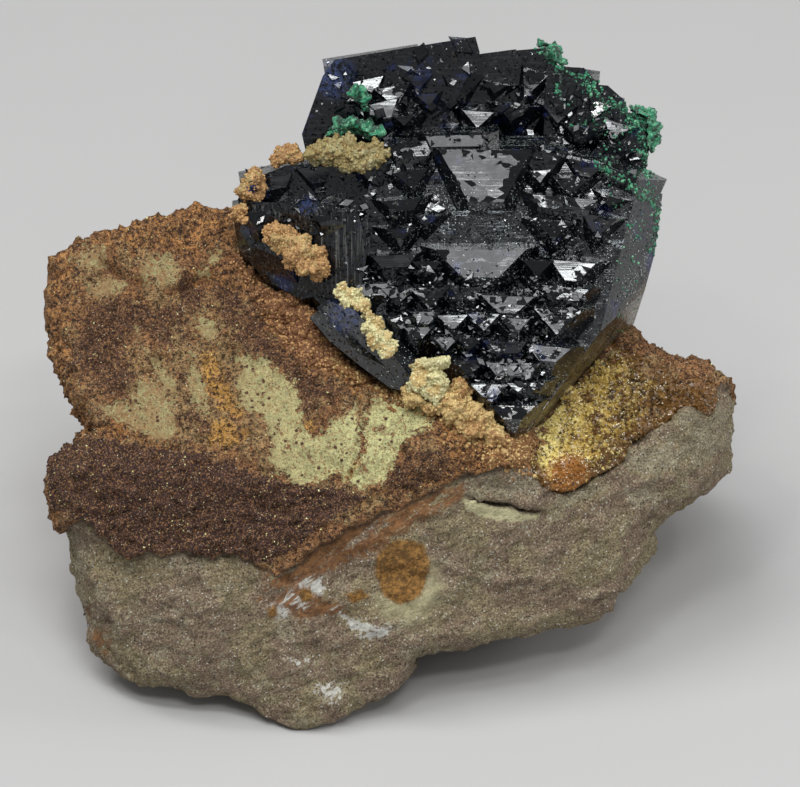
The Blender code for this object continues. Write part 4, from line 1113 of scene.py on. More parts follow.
def stone_finish(look):
    """Stained skin over a clean sandy break, from the stain depths kept on the points."""
    t = StoneFinish()
    skin_depth = t.maths("MULTIPLY_ADD", t.ragged, 0.5, t.attribute("skin"))
    on_skin = t.rise(skin_depth, -0.1, 0.1)
    chips = t.cells(0.9, t.turned(SPLINTER_TURN), (0.6, 1.2, 1.2))[0]
    relief = None
    # The relief of the break and of the skin, from coarse to fine, with its height in metres.
    for of_break, of_skin, height in (
            (chips, 0.5, 0.0005), (t.patterns["splinters"], t.patterns["clump"], 0.0006),
            (t.patterns["streaks"], t.patterns["grit"], 0.0006)):
        relief = t.bump(t.blend(on_skin, of_break, of_skin), height, 1.0, relief)
    relief = t.bump(t.patterns["speck"], 0.0002, 1.0, relief)
    dull = t.blend(t.flecks(0.24, 0.1, 0.5), 0.82, 0.3)
    whole = t.mix(on_skin, fresh_break(t, look), stained_skin(t, look))
    return t.set(Base_Color=whole, Roughness=dull, Normal=relief)


def azurite_tint(t, look, glint, column, level, lines):
    """Almost black, with bright flecks painted on as sparkle highlights, blue places, worn lines
    and dust at the foot.
    """
    # Where the bright flecks go: painted sparkle highlights, most on the ledges that face upwards
    # and few on the glint facets.
    ledge = t.rise(t.facing(LEDGE_WAY), 0.93, 0.985)
    amount = t.maths("MULTIPLY_ADD", t.rise(t.noise(2.6, 4.0, 0.6), 0.46, 0.66), 0.24, 0.01)
    for part in (t.rise(t.along(0), -0.002, 0.002), t.maths("MULTIPLY_ADD", glint, -0.85, 1.0),
                 t.rise(t.along(1), 0.058, 0.048)):
        amount = t.times(amount, part)
    amount = t.maths("MULTIPLY_ADD", t.times(ledge, t.rise(level, 0.48, 0.6)), 0.55, amount)
    worn = t.times(t.rise(lines, 0.52, 0.66), t.blend(column, 0.04, 0.3))
    low = t.vector("DOT_PRODUCT", t.on_face, (-0.76, 0.65, 0.0))
    combed = t.noise(1.1, 4.0, 0.7, t.turned(DUST_TURN), (0.15, 4.0, 4.0))
    dusty = t.times(t.rise(low, 0.0096, 0.0080), t.rise(combed, 0.4, 0.56))
    tint = t.mix(t.rise(t.noise(3.6, 4.0, 0.7), 0.58, 0.7), look.body, look.blue)
    for spot, reach in BLUE_SPOTS:
        near = t.rise(t.away(spot), reach * MM, reach * 0.4 * MM)
        tint = t.covered(tint, (near, t.rise(t.noise(0.4, 3.0, 0.7), 0.42, 0.58),
                                look.bright_blue))
    return t.covered(tint, (t.flecks(0.12, amount, 0.42), 1.0, look.sparkle_highlight),
                     (worn, t.rise(t.attribute("tone"), 0.2, 0.6), look.worn),
                     (dusty, 0.9, look.dust))


def azurite_lean(t, glint):
    """The facets' directions, with grains and broken panes that lean away from the light."""
    grain = t.parts(t.cells(0.15)[1])
    lucky = t.maths("LESS_THAN", grain[0], t.blend(glint, 0.2, 0.02))
    stray = t.node("ShaderNodeCombineXYZ", {
        0: grain[1], 1: grain[2], 2: t.times(grain[0], 3.0)}).outputs[0]
    panes = t.cells(0.9, t.on_face, (0.55, 1.2, 1.0))[1]
    chipped = t.maths("LESS_THAN", t.parts(panes)[0], t.rise(t.noise(3.0, 3.0, 0.6), 0.44, 0.66))
    dim = t.maths("LESS_THAN", t.attribute("tone"), 0.5)
    broken = t.times(t.maths("MAXIMUM", t.times(chipped, 0.9), dim), glint)
    middle = (0.5, 0.5, 0.5)
    way = t.node("ShaderNodeNewGeometry").outputs["Normal"]
    for push in (
            t.scaled(t.vector("SUBTRACT", stray, middle), t.times(lucky, 1.3)),
            t.scaled(tuple(-0.55 * FACE_UP), broken),
            t.node("ShaderNodeAttribute", attribute_name="lean").outputs["Vector"],
            t.scaled(t.vector("SUBTRACT", panes, middle), 0.06),
            t.scaled(tuple(0.3 * FACE_OUT), t.rise(t.facing((1.0, 0.0, 0.0)), 0.7, 0.9))):
        way = t.vector("ADD", way, push)
    return t.vector("NORMALIZE", way)


def azurite_finish(look):
    """Polished, almost black blue crystal with fine lines and tiny bright flecks painted on as
    sparkle highlights.
    """
    t = Finish("azurite")
    glint = t.rise(t.facing(GLINT_WAY), 0.985, 0.997)
    column = t.times(t.rise(t.along(0), -0.0014, -0.0022), t.rise(t.along(1), 0.0485, 0.0475))
    level = t.noise(1.2, 4.0, 0.65, t.on_face, (0.12, 5.0, 5.0))
    upright = t.noise(1.2, 4.0, 0.65, t.on_face, (5.0, 0.12, 5.0))
    lines = t.blend(column, level, upright)
    tint = azurite_tint(t, look, glint, column, level, lines)
    relief = t.bump(lines, 0.00004, 0.22, azurite_lean(t, glint))
    dull = t.blend(t.rise(t.noise(0.9, 5.0, 0.7), 0.35, 0.8), look.polish, 0.22)
    return t.set(Base_Color=tint, Roughness=dull, IOR=look.refraction, Normal=relief)


def druse_finish(look):
    """Honey and rust coloured little crystals, glassy, each with its own tone, with painted shade
    in pits and low places, a painted pool of light on the pale left part, and painted sparkle
    highlights.
    """
    t = Finish("ochre_druse")
    tone = t.attribute("tone")
    drift = t.maths("MULTIPLY_ADD", t.noise(2.2, 5.0, 0.7), 0.012, t.along(0))
    rusted = t.maths("MULTIPLY_ADD", t.noise(0.5, 4.0, 0.7), 0.004, t.away(RUSTED_DRUSE))
    # Paler towards the left, here and in the cream laid on at the far left: the druse's own cream
    # colour with a painted pool of light.
    pale = t.rise(drift, 0.033, 0.022)
    # Dark patches standing for pits in the druse: painted shade.
    hole_shade = t.times(t.rise(drift, 0.023, 0.028), t.rise(t.noise(0.8, 3.0, 0.7), 0.50, 0.58))
    # How many painted sparkle highlights there are, more of them on the pale left part.
    bright = t.times(t.rise(t.noise(1.5, 3.0, 0.7), 0.4, 0.6),
                     t.maths("MULTIPLY_ADD", pale, 0.22, 0.04))
    tint = t.covered(
        t.mix(t.rise(drift, 0.0235, 0.0315), look.gold, look.brown),
        (t.rise(t.noise(1.8, 4.0, 0.7), 0.52, 0.58), 1.0, look.brown),
        (hole_shade, 1.0, toned(look.brown, 0.3)),
        (t.rise(drift, 0.0232, 0.0195), 0.8, look.cream),
        (t.rise(t.attribute("edge"), 0.2, 1.0), 1.0, look.brown),
        # By tone: paler on the base's high places and darker on its low ones, painted highlight
        # and shade; on the crystals the tone is random.
        (t.times(pale, t.rise(tone, 0.6, 1.0)), 0.7, look.cream),
        (t.rise(tone, 0.4, 0.0), 0.85, toned(look.brown, 0.3)),
        (t.rise(rusted, 0.0044, 0.0034), 1.0, look.rust),
        (t.rise(t.noise(0.5, 4.0, 0.75), 0.46, 0.36), 0.85, toned(look.brown, 0.2)),
        (t.flecks(0.16, bright, 0.5), 1.0, DRUSE_SPARKLE))
    relief = t.bump(t.noise(0.12, 2.0), 0.00005, 0.6)
    return t.set(Base_Color=tint, Roughness=0.25, Normal=relief, IOR=1.55)


def crust_finish(name, kind, look, centre=None):
    """A rough little growth of two tints, with painted shade between its beads; grains that keep
    no beads take that darker tint all over.
    """
    t = Finish(name)
    _, crease_shade_and_lip_tint, second, part = CRUST_KINDS[kind]
    tint, other = getattr(look, kind), toned(getattr(look, second), part)
    shade = t.covered(
        t.mix(t.rise(t.noise(1.3, 4.0, 0.6), 0.35, 0.7), tint, toned(tint, 0.72)),
        (t.rise(t.noise(2.2, 4.0, 0.65), 0.5, 0.58), 1.0, other),
        # Darker where the beads dip: painted shade in the creases.
        (t.rise(t.attribute("bead"), 0.55, 0.15), 1.0, crease_shade_and_lip_tint),
        (t.rise(t.attribute("tone"), 0.6, 1.0), 0.7, toned(tint, 1.35)),
        (t.rise(t.noise(0.5, 4.0, 0.75), 0.5, 0.38), 0.8, crease_shade_and_lip_tint),
        (t.flecks(0.22, 0.35, 0.45), 0.85, toned(tint, 1.6, 0.95)))
    if centre is not None:
        shade = t.mix(t.rise(t.attribute("centre"), 0.35, 0.65), shade, centre)
    relief = t.bump(t.noise(0.16, 3.0, 0.7), 0.0001, 0.9)
    return t.set(Base_Color=shade, Roughness=0.6, Normal=relief)


def malachite_finish(look):
    """Velvety green, paler on some of the balls and on the velvet's bead tops, partly their own
    pale tips and partly painted highlight, with darker patches painted as shade in crevices.
    """
    t = Finish("malachite")
    tint = t.covered(
        t.mix(t.rise(t.attribute("tone"), 0.72, 1.0), look.green, look.light),
        # Darker green patches: painted shade standing for crevices.
        (t.rise(t.noise(0.6, 4.0, 0.7), 0.54, 0.44), 1.0, toned(look.green, 0.15)),
        (t.flecks(0.16, 0.16, 0.5), 1.0, look.light))
    relief = t.bump(t.noise(0.1, 2.0), 0.00005, 0.8)
    return t.set(Base_Color=tint, Roughness=0.55, Normal=relief, Sheen_Weight=0.25)


def grain_finish(look):
    """Glittering grains of the stained skin, each with its own tone."""
    t = Finish("glitter_grain")
    tone = t.attribute("tone")
    tint = t.mix(tone, look.band, toned(look.orange, 0.5))
    tint = t.mix(t.rise(tone, 0.86, 0.94), tint, look.cream)
    relief = t.bump(t.noise(0.1, 2.0), 0.00003, 0.5)
    return t.set(Base_Color=tint, Roughness=0.24, Normal=relief)


def floor_finish(look):
    """Plain pale matt floor."""
    t = Finish("studio_floor")
    soft = t.mix(t.noise(40.0, 2.0), look.floor, toned(look.floor, 0.97))
    return t.set(Base_Color=soft, Roughness=0.55)


# ---- the stone ----
def edge_fillers():
    """Places just behind the thin edge's front, close enough to make a rounded edge."""
    tree = tree_of(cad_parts[STONE].data)
    places = []
    for (x0, y0), (x1, y1) in zip(THIN_EDGE, THIN_EDGE[1:]):
        steps = math.ceil(math.hypot(x1 - x0, y1 - y0) / (0.5 * EDGE_RADIUS))
        for part in (step / steps for step in range(steps)):
            spot = seen_on(tree, x0 + (x1 - x0) * part, y0 + (y1 - y0) * part)
            if spot is not None:
                places.append(spot - FACE_OUT * EDGE_RADIUS * 0.9 * MM)
    return places


def stain_depths(spots, ways):
    """How deep each point lies in the skin and in each stain, in mm."""
    place = on_face(spots)
    across, up = place[:, 0], place[:, 1]
    front = ramp(outward(ways), -0.55, -0.1)
    wobble = grain_field(spots, 2.6, seed=3, octaves=3)
    line = np.interp(across, *zip(*SKIN_EDGE))
    behind = spots[:, 2] / MM - BACK_SKIN_HEIGHT + 5 * grain_field(spots, 14.0, seed=4, octaves=2)
    below = ramp(ways[:, 2], -0.35, -0.7)
    skin = front * (up - line) + (1 - front) * (behind - 12 * below) + 0.5 * wobble
    depths = {"skin": skin}
    for name, outlines in STAINS.items():
        inside = np.max([depth_inside(place[:, :2], o) for o in outlines], axis=0)
        inside = inside + STAIN_WOBBLE[name] * wobble
        inside = np.clip(inside, -FAR_FROM_STAIN, FAR_FROM_STAIN)
        hidden = -FAR_FROM_STAIN
        if name in HIDDEN_STAINS:
            size, reach, start, seed = HIDDEN_STAINS[name]
            hidden = start + 2 * reach * grain_field(spots, size, seed=seed, octaves=3)
        depths[name] = front * inside + (1 - front) * hidden
    return depths


def streak_field(spots, size, angle, seed):
    """Noise from -1 to 1 drawn out along one way on the display face."""
    across, up, out = on_face(spots).T
    along = (across * math.cos(angle) - up * math.sin(angle)) * STREAK_STRETCH
    aside = across * math.sin(angle) + up * math.cos(angle)
    return grain_field(np.stack([along, aside, out], axis=1) * MM, size, seed, 3)


def split_rise(spots, ways):
    """The open split in the break: a groove with a raised lip under it, in mm."""
    across, up, _ = on_face(spots).T
    (x0, y0), (x1, y1) = SPLIT_ENDS
    long = math.hypot(x1 - x0, y1 - y0)
    dx, dy = (x1 - x0) / long, (y1 - y0) / long
    along = ((across - x0) * dx + (up - y0) * dy) / long
    aside = (up - y0) * dx - (across - x0) * dy + 0.5 * (along - 0.5) ** 2
    ends = ramp(along, -0.05, 0.12) * ramp(along, 1.05, 0.7) * ramp(outward(ways), 0.0, 0.3)
    groove = ramp(aside, -0.2, 0.0) * ramp(aside, 0.45, 0.1)
    lip = ramp(aside, -1.2, -0.3) * ramp(aside, -0.1, -0.25) * ramp(along, 1.1, 0.2)
    upper = ramp(aside, 0.2, 0.4) * ramp(aside, 1.3, 0.8)
    return ends * (0.7 * lip + 0.7 * upper - 0.5 * groove)


def fold_rise(spots, ways):
    """The ridges and cracks on the display face, in mm."""
    place = on_face(spots)[:, :2]
    wander = 0.35 * grain_field(spots, 1.0, seed=17, octaves=3)
    rise = np.zeros(len(spots))
    for line, reach, height in FOLDS:
        rise += height * ramp(line_distance(place, line) + reach * wander, reach, 0.0)
    return rise * ramp(outward(ways), -0.1, 0.3)


def stone_rise(look, spots, ways, depths):
    """How far the stone's points move out for its skin, grit, chips and ridges, in mm."""
    on_skin = ramp(depths["skin"], -0.12, 0.16)
    bare = ramp(depths["cream"], -0.3, 0.5) * on_skin
    swell = grain_field(spots, 5.0, seed=11, octaves=4) * 4
    steps = (np.floor(swell) + ramp(swell - np.floor(swell), 0.25, 0.75)) / 3
    lumps = grain_field(spots, 3.4, seed=14, octaves=3)
    grit = np.abs(grain_field(spots, 1.2, seed=12, octaves=3))
    fine = grain_field(spots, 0.8, seed=13, octaves=2)
    chips = np.abs(streak_field(spots, 2.6, SPLINTER_TURN, 15))
    flakes = np.abs(streak_field(spots, 1.3, STREAK_TURN, 16))
    rise = on_skin * (look.skin + look.grit * (3.4 * grit + 1.5 * fine + 1.6 * lumps)) / MM
    rise += (1 - on_skin) * (look.undulation * (steps + 1.1 * chips + 0.7 * flakes - 0.5)
                             + 0.6 * look.grit * fine) / MM
    rise += split_rise(spots, ways) + fold_rise(spots, ways)
    rise -= bare * (0.15 + 0.7 * (rise - look.skin / MM))
    return rise + ramp(depths["band"], -0.3, 0.3) * on_skin * 0.12


class SPECIMEN_OT_stone(bpy.types.Operator):
    """Makes the matrix stone: a gritty stained skin over a clean sandy break"""

    bl_idname = "specimen.stone"
    bl_label = "Matrix stone"

    def execute(self, context):
        """Grows the stone's surface from its CAD solid."""
        look = context.scene.specimen_stone
        mesh = remeshed(STONE, look.voxel, 3, edge_fillers(), EDGE_RADIUS * MM)
        spots, ways = points_of(mesh)
        depths = stain_depths(spots, ways)
        height = spots[:, 2] / MM
        rise = stone_rise(look, spots, ways, depths) * ramp(height, FOOT_TOP, FULL_RELIEF)
        spots = pushed(spots, ways, rise)
        for corner, past in zip(CAD_BOX, (np.minimum, np.maximum)):
            spots -= BOX_PULL * past(spots - np.array(corner), 0.0)
        spots[height < FOOT_TOP, 2] = 0.0
        spots[:, 2] = np.maximum(spots[:, 2], 0.0)
        set_points(mesh, spots)
        keep(mesh, **depths)
        mesh.shade_smooth()
        finish_piece(placed("stone", mesh), stone_finish(look), [STONE])
        return {"FINISHED"}


class SPECIMEN_OT_grains(bpy.types.Operator):
    """Scatters glittering grains over the stone's stained skin"""

    bl_idname = "specimen.grains"
    bl_label = "Glitter grains"

    def execute(self, context):
        """Grows pointed grains on the skin of the finished stone."""
        look = context.scene.specimen_stone
        skin = bpy.data.objects["stone"].data.copy()
        cover = ramp(kept(skin, "skin"), 0.1, 0.6)
        cover *= 1 - 0.85 * ramp(kept(skin, "cream"), -0.4, 0.4)
        cover *= 0.5 + 0.9 * ramp(kept(skin, "band"), -0.5, 0.5)
        keep(skin, cover=cover * ramp(points_of(skin)[0][:, 2], *GRAIN_HEIGHTS))
        tree = Growth("glitter_grains", {
            "Density": 2.6e6, "Smallest": look.grain * 0.4, "Largest": look.grain, "Sides": 4})
        grow_crystals(tree, grain_finish(look), 0.9, 0.7)
        tree.piece(skin, "iron_stained_stone")
        return {"FINISHED"}


# ---- the azurite ----
def facets_of(bm):
    """The mesh's flat facets, each a list of faces that lie in one plane."""
    taken = set()
    facets = []
    for seed in bm.faces:
        if seed.index in taken:
            continue
        taken.add(seed.index)
        facet = [seed]
        for face in facet:
            for near in (n for edge in face.edges for n in edge.link_faces):
                if near.index not in taken and near.normal.dot(seed.normal) > FLAT:
                    taken.add(near.index)
                    facet.append(near)
        facets.append(facet)
    return facets


def vary_facets(mesh, dice):
    """Keeps a slight lean and a tone for each facet; more of the low ones catch the light."""
    bm = bmesh.new()
    bm.from_mesh(mesh)
    tones = np.zeros(len(bm.faces))
    leans = np.zeros((len(bm.faces), 3))
    for facet in facets_of(bm):
        area = sum(f.calc_area() for f in facet) / MM**2
        middle = sum((f.calc_center_median() for f in facet), Vector()) / len(facet)
        chance, spread = np.interp(on_face([middle])[0][1], *BRIGHT_CHANCE), FACET_LEAN
        if area > BIG_FACET:
            chance, spread = BIG_FACET_CHANCE, FACET_LEAN * BIG_FACET_LEAN
        tone = dice.uniform(0.5, 1.0) if dice.random() < chance else dice.uniform(0.0, 0.5)
        own = [face.index for face in facet]
        tones[own] = tone
        leans[own] = [dice.gauss(0, spread) for _ in range(3)]
    bm.free()
    keep(mesh, "FACE", tone=tones, lean=leans)


def step_turn(roll, dice):
    """The turn that lays a growth step flat towards the glint, point downwards."""
    face_axes = Matrix((-FACE_UP, Vector((1, 0, 0)), FACE_OUT)).transposed()
    stray = GLINT_STRAY if dice.random() < GLINT_SHARE else OTHER_STRAY
    tip = Matrix.Rotation(dice.gauss(0, stray) - GLINT_TILT, 3, "Y")
    tip = Matrix.Rotation(dice.gauss(0, stray), 3, "X") @ tip
    return (face_axes @ tip @ Matrix.Rotation(roll, 3, "Z")).to_euler()


def step_seeds(tree, step_height, dice):
    """Growth steps by their number of sides: each one's place, turn and size."""
    rows = {3: [], 4: []}
    for outline, density, smallest, largest, freedom in STEP_FIELDS:
        for spot in seen_inside(tree, outline, density, dice):
            size = smallest + (largest - smallest) * dice.random() ** 2
            tall = size * dice.uniform(*STEP_TALL)
            wide = size * dice.uniform(*STEP_WIDE)
            roll = dice.gauss(0.0, STEP_ROLL + freedom)
            sides = 3 if dice.random() < THREE_SIDED_SHARE else 4
            stretch = (tall * MM, wide * MM, size * step_height * MM)
            rows[sides].append((spot, step_turn(roll, dice), stretch))
    return rows


class SPECIMEN_OT_azurite(bpy.types.Operator):
    """Gives the azurite its finish and covers it with fine growth steps"""

    bl_idname = "specimen.azurite"
    bl_label = "Azurite crystals"

    def execute(self, context):
        """Finishes the CAD crystals and grows small steps where they face the viewer."""
        look = context.scene.specimen_azurite
        finish = azurite_finish(look)
        dice = random.Random(29)
        mesh = merged_copy(AZURITE)
        vary_facets(mesh, dice)
        finish_piece(placed("azurite_facets", mesh), finish, [AZURITE])
        crystals = tree_of(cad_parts[AZURITE].data)
        for sides, steps in step_seeds(crystals, look.step_height, dice).items():
            spots, turns, stretches = zip(*steps)
            tree = Growth(f"growth_steps_{sides}", {"Sides": sides, "Top share": 0.74})
            grow_steps(tree, finish)
            tree.piece(seedbed("step_seeds", spots, turn=turns, stretch=stretches), "azurite")
        return {"FINISHED"}


# ---- the small growths ----
class SPECIMEN_OT_druse(bpy.types.Operator):
    """Makes the hollow's drusy crust and its little crystals"""

    bl_idname = "specimen.druse"
    bl_label = "Drusy crust"

    def execute(self, context):
        """Covers the crust's solid with grit and crystals."""
        look = context.scene.specimen_druse
        finish = druse_finish(look)
        mesh = remeshed(DRUSE, look.voxel, smoothing=3)
        spots, ways = points_of(mesh)
        grit = grain_field(spots, 1.3, seed=31, octaves=3)
        lumps = grain_field(spots, 2.6, seed=33, octaves=2)
        outer = ramp(outward(ways), -0.2, 0.3)
        inside = depth_inside(on_face(spots)[:, :2], DRUSE_OUTLINE)
        rise = outer * (0.12 + 0.35 * grit + 0.7 * lumps - 0.5 * ramp(inside, 1.2, 0.0))
        rise += (1 - outer) * 0.4 * ramp(inside, 1.2, 0.6)
        set_points(mesh, pushed(spots, ways, rise))
        # The tone follows the grit's height, so the finish paints the low places darker and the
        # high ones paler: painted shade and highlight.
        keep(mesh, tone=0.4 + 0.3 * grit, edge=ramp(inside, 1.6, 0.4))
        seeds = mesh.copy()
        keep(seeds, cover=outer)
        finish_piece(placed("druse_base", mesh), finish, [DRUSE])
        tree = Growth("druse_crystals", {
            "Density": 1.5e7, "Smallest": look.crystal * 0.45, "Largest": look.crystal,
            "Sides": 6})
        grow_crystals(tree, finish, 0.95, 0.6)
        tree.piece(seeds, "ochre_druse")
        return {"FINISHED"}


def beaded_crust(node, look, number):
    """A crust's solid as a beaded mesh, which keeps its beads and its middle."""
    bead = look.bead / MM
    mesh = remeshed(node, look.voxel, smoothing=8)
    spots, ways = points_of(mesh)
    lumps = grain_field(spots, bead * 1.6, seed=number + 40, octaves=3)
    large = bead_field(pushed(spots, ways, lumps * 0.3), bead, seed=number + 1)
    small = bead_field(spots, bead * 0.45, seed=number + 20)
    rise = 0.5 * (large - 0.6) + 0.3 * (small - 0.6) + 1.1 * lumps
    spots = pushed(spots, ways, rise * bead)
    set_points(mesh, spots)
    across, up, _ = (on_face(spots) - on_face([sum(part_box(node), Vector()) / 2])).T
    keep(mesh, bead=0.7 * large + 0.3 * small, centre=ramp(np.hypot(across, up), 0.9, 0.2))
    mesh.shade_smooth()
    return mesh


class SPECIMEN_OT_crusts(bpy.types.Operator):
    """Makes the tan, pale and ochre crusts on the crystals and the stone"""

    bl_idname = "specimen.crusts"
    bl_label = "Small crusts"

    def execute(self, context):
        """Turns each crust's solid into a beaded growth, with grains on it and by the lip."""
        look = context.scene.specimen_crust
        finishes = {kind: crust_finish(kind + "_crust", kind, look) for kind in CRUST_KINDS}
        beds = {kind: [] for kind in CRUST_KINDS}
        for number, (node, kind) in enumerate(CRUSTS.items()):
            mesh = beaded_crust(node, look, number)
            finish = finishes[kind]
            if node == BLUE_HEART:
                blue = context.scene.specimen_azurite.blue
                finish = crust_finish("blue_heart_crust", kind, look, blue)
            finish_piece(placed(node + "_beads", mesh), finish, [node])
            beds[kind].append(mesh)
        dice = random.Random(43)
        stone = tree_of(bpy.data.objects["stone"].data)
        for kind, runs in LIP_RUNS.items():
            bed = seedbed(kind + "_lip_seeds", spots_along(stone, runs, dice))
            tree = Growth(kind + "_lip_grains", {
                "Smallest": look.lip_grain * 0.3, "Largest": look.lip_grain})
            grow_balls(tree, tree.size("Geometry"), finishes[kind])
            tree.piece(bed, CRUST_KINDS[kind][0])
        for kind, meshes in beds.items():
            tree = Growth(kind + "_crust_grains", {
                "Density": 1.1e7, "Smallest": look.grain * 0.4, "Largest": look.grain * 1.1})
            spread = tree.node("GeometryNodeDistributePointsOnFaces", {
                "Mesh": tree.size("Geometry"), "Seed": 8, "Density": tree.size("Density")})
            grow_balls(tree, spread.outputs["Points"], finishes[kind])
            tree.piece(joined(meshes), CRUST_KINDS[kind][0])
        return {"FINISHED"}


class SPECIMEN_OT_malachite(bpy.types.Operator):
    """Makes the velvety malachite along the crystal edges"""

    bl_idname = "specimen.malachite"
    bl_label = "Malachite"

    def execute(self, context):
        """Packs tiny balls on the malachite solids and along the crystals' edges."""
        look = context.scene.specimen_malachite
        finish = malachite_finish(look)
        dice = random.Random(41)
        crystals = tree_of(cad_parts[AZURITE].data)
        spots = spots_along(crystals, MALACHITE_RUNS, dice)
        for outline, density in MALACHITE_DUST:
            spots += [spot for spot in seen_inside(crystals, outline, density, dice)
                      if noise.noise(spot * DUST_PATCHES) > 0]
        tree = Growth("malachite_balls", {"Smallest": look.ball * 0.35, "Largest": look.ball})
        grow_balls(tree, tree.size("Geometry"), finish)
        tree.piece(seedbed("malachite_seeds", spots), "malachite")
        for node in MALACHITE:
            mesh = remeshed(node, look.voxel, smoothing=4)
            spots, ways = points_of(mesh)
            bead = bead_field(spots, 0.42, seed=7)
            rise = 0.24 * (bead - 0.6) + 0.75 * grain_field(spots, 1.0, seed=8, octaves=3) - 0.15
            set_points(mesh, pushed(spots, ways, rise))
            # The tone follows the beads' height, so their tops take the pale green: pale tips and
            # painted highlight.
            keep(mesh, tone=bead * 0.9)
            mesh.shade_smooth()
            finish_piece(placed(node + "_velvet", mesh), finish, [node])
        return {"FINISHED"}


# ---- the stage ----
# The point that the camera looks at, on the display face in mm.
VIEW_TARGET = (0.9, 30.9, 0.0)
# Small bright lights that make the crystals sparkle: place, share of the power and tint.
SPARKLE_LIGHTS = [
    ((-0.16, -0.30, 0.56), 0.30, (1.0, 0.98, 0.94)), ((0.20, -0.22, 0.56), 0.25, (1.0, 1.0, 1.0)),
    ((-0.30, 0.10, 0.50), 0.20, (1.0, 0.98, 0.94)), ((0.06, -0.48, 0.34), 0.12, (0.85, 0.93, 1.0)),
    ((0.34, 0.06, 0.40), 0.13, (0.9, 0.96, 1.0)),
]
# Narrow lights that only the facets which lean a little reflect.
STRIP_LIGHTS = [(-0.02, -0.155, 0.515), (0.08, -0.30, 0.43)]
# The floor's radius and height from its middle to its rim, in metres.
FLOOR_PROFILE = [(0.0, 0.0), (0.7, 0.0), (0.85, 0.02), (0.96, 0.07), (1.04, 0.16), (1.08, 0.32)]


def lamp(name, place, aim, size, watts, tint=(1.0, 1.0, 1.0)):
    """A rectangular area light aimed at a point."""
    data = bpy.data.lights.new(name, "AREA")
    data.shape = "RECTANGLE"
    data.size, data.size_y = size
    data.energy = watts
    data.color = tint
    obj = placed(name, data)
    obj.location = place
    obj.rotation_euler = (Vector(aim) - Vector(place)).to_track_quat("-Z", "Y").to_euler()


def floor_mesh():
    """A round floor that turns up at its rim."""
    mesh = bpy.data.meshes.new("floor")
    with edited(mesh) as bm:
        rows = [bm.verts.new((r, 0.0, z)) for r, z in FLOOR_PROFILE]
        edges = [bm.edges.new(pair) for pair in zip(rows, rows[1:])]
        bmesh.ops.spin(bm, geom=rows + edges, cent=(0, 0, 0), axis=(0, 0, 1),
                       angle=math.tau, steps=96, use_merge=True)
        bmesh.ops.remove_doubles(bm, verts=bm.verts, dist=1e-5)
        bmesh.ops.recalc_face_normals(bm, faces=bm.faces)
    mesh.shade_smooth()
    return mesh


def aim_camera(scene, middle, look):
    """Puts the camera straight in front of the display face."""
    data = bpy.data.cameras.new("camera")
    data.lens = look.lens
    data.sensor_width = 36.0
    data.clip_start = 0.01
    scene.camera = placed("camera", data)
    scene.camera.location = middle + FACE_OUT * look.distance
    scene.camera.rotation_euler = (-FACE_OUT).to_track_quat("-Z", "Y").to_euler()


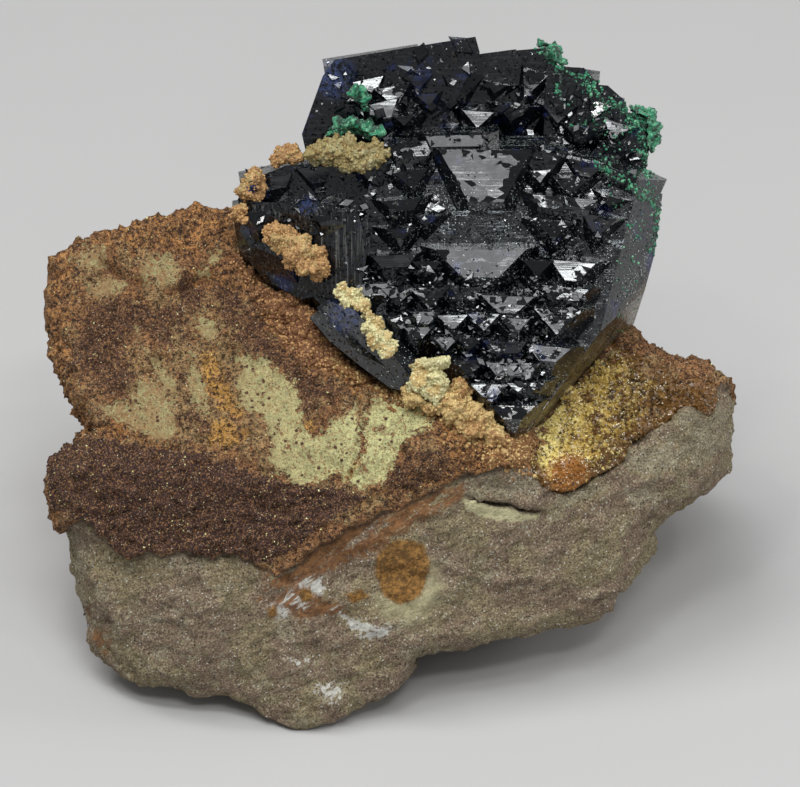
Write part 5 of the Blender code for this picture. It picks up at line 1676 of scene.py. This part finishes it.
class SPECIMEN_OT_stage(bpy.types.Operator):
    """Makes the floor, the lights and the camera"""

    bl_idname = "specimen.stage"
    bl_label = "Stage"

    def execute(self, context):
        """Sets up a plain soft studio round the specimen."""
        look = context.scene.specimen_stage
        floor = placed("floor", floor_mesh())
        floor.data.materials.append(floor_finish(look))

        middle = from_face(*VIEW_TARGET)
        lamp("soft_light", (-0.20, 0.0, 0.58), middle, (0.34, 0.34), look.soft)
        lamp("face_light", (-0.02, -0.24, 0.50), middle, (0.30, 0.26), look.face,
             (0.97, 0.99, 1.0))
        lamp("fill_light", (0.42, 0.06, 0.17), (0.0, 0.0, 0.01), (0.24, 0.20), look.fill)
        for number, place in enumerate(STRIP_LIGHTS):
            lamp(f"strip_light_{number}", place, middle, (0.16, 0.04), look.strip,
                 (0.94, 0.98, 1.0))
        for number, (place, part, tint) in enumerate(SPARKLE_LIGHTS):
            lamp(f"sparkle_light_{number}", place, middle, (0.04, 0.04), look.sparkle * part,
                 tint)

        room = bpy.data.worlds.new("room")
        room.use_nodes = True
        sky = room.node_tree.nodes["Background"].inputs
        sky["Color"].default_value = (1, 1, 1.02, 1)
        sky["Strength"].default_value = look.ambient
        context.scene.world = room
        context.scene.view_settings.view_transform = "Standard"
        aim_camera(context.scene, middle, look)
        return {"FINISHED"}


# ---- the add-on ----
class SPECIMEN_PT_sidebar(bpy.types.Panel):
    """Settings and steps of the azurite specimen"""

    bl_idname = "SPECIMEN_PT_sidebar"
    bl_label = "Azurite specimen"
    bl_space_type = "VIEW_3D"
    bl_region_type = "UI"
    bl_category = "Specimen"

    def draw(self, context):
        """Lists each group's settings above its buttons."""
        for group, (_, steps) in GROUPS.items():
            box = self.layout.box()
            settings = getattr(context.scene, group)
            for name in settings.bl_rna.properties.keys():
                if name not in ("rna_type", "name"):
                    box.prop(settings, name)
            for step in steps:
                box.operator(step.bl_idname)


# Each group's settings and its steps, in the order they are made.
GROUPS = {
    "specimen_stone": (StoneSettings, [SPECIMEN_OT_stone, SPECIMEN_OT_grains]),
    "specimen_azurite": (AzuriteSettings, [SPECIMEN_OT_azurite]),
    "specimen_druse": (DruseSettings, [SPECIMEN_OT_druse]),
    "specimen_crust": (CrustSettings, [SPECIMEN_OT_crusts]),
    "specimen_malachite": (MalachiteSettings, [SPECIMEN_OT_malachite]),
    "specimen_stage": (StageSettings, [SPECIMEN_OT_stage]),
}
CLASSES = [kind for settings, steps in GROUPS.values() for kind in (settings, *steps)]
CLASSES.append(SPECIMEN_PT_sidebar)


def register():
    """Adds the settings, operators and panel."""
    for kind in CLASSES:
        bpy.utils.register_class(kind)
    for name, (settings, _) in GROUPS.items():
        setattr(bpy.types.Scene, name, PointerProperty(type=settings))


def unregister():
    """Takes them out again."""
    for name in GROUPS:
        delattr(bpy.types.Scene, name)
    for kind in reversed(CLASSES):
        bpy.utils.unregister_class(kind)


def main():
    """Makes every piece in order."""
    register()
    bpy.ops.specimen.stone()
    bpy.ops.specimen.grains()
    bpy.ops.specimen.azurite()
    bpy.ops.specimen.druse()
    bpy.ops.specimen.crusts()
    bpy.ops.specimen.malachite()
    bpy.ops.specimen.stage()


if __name__ == "__main__":
    main()
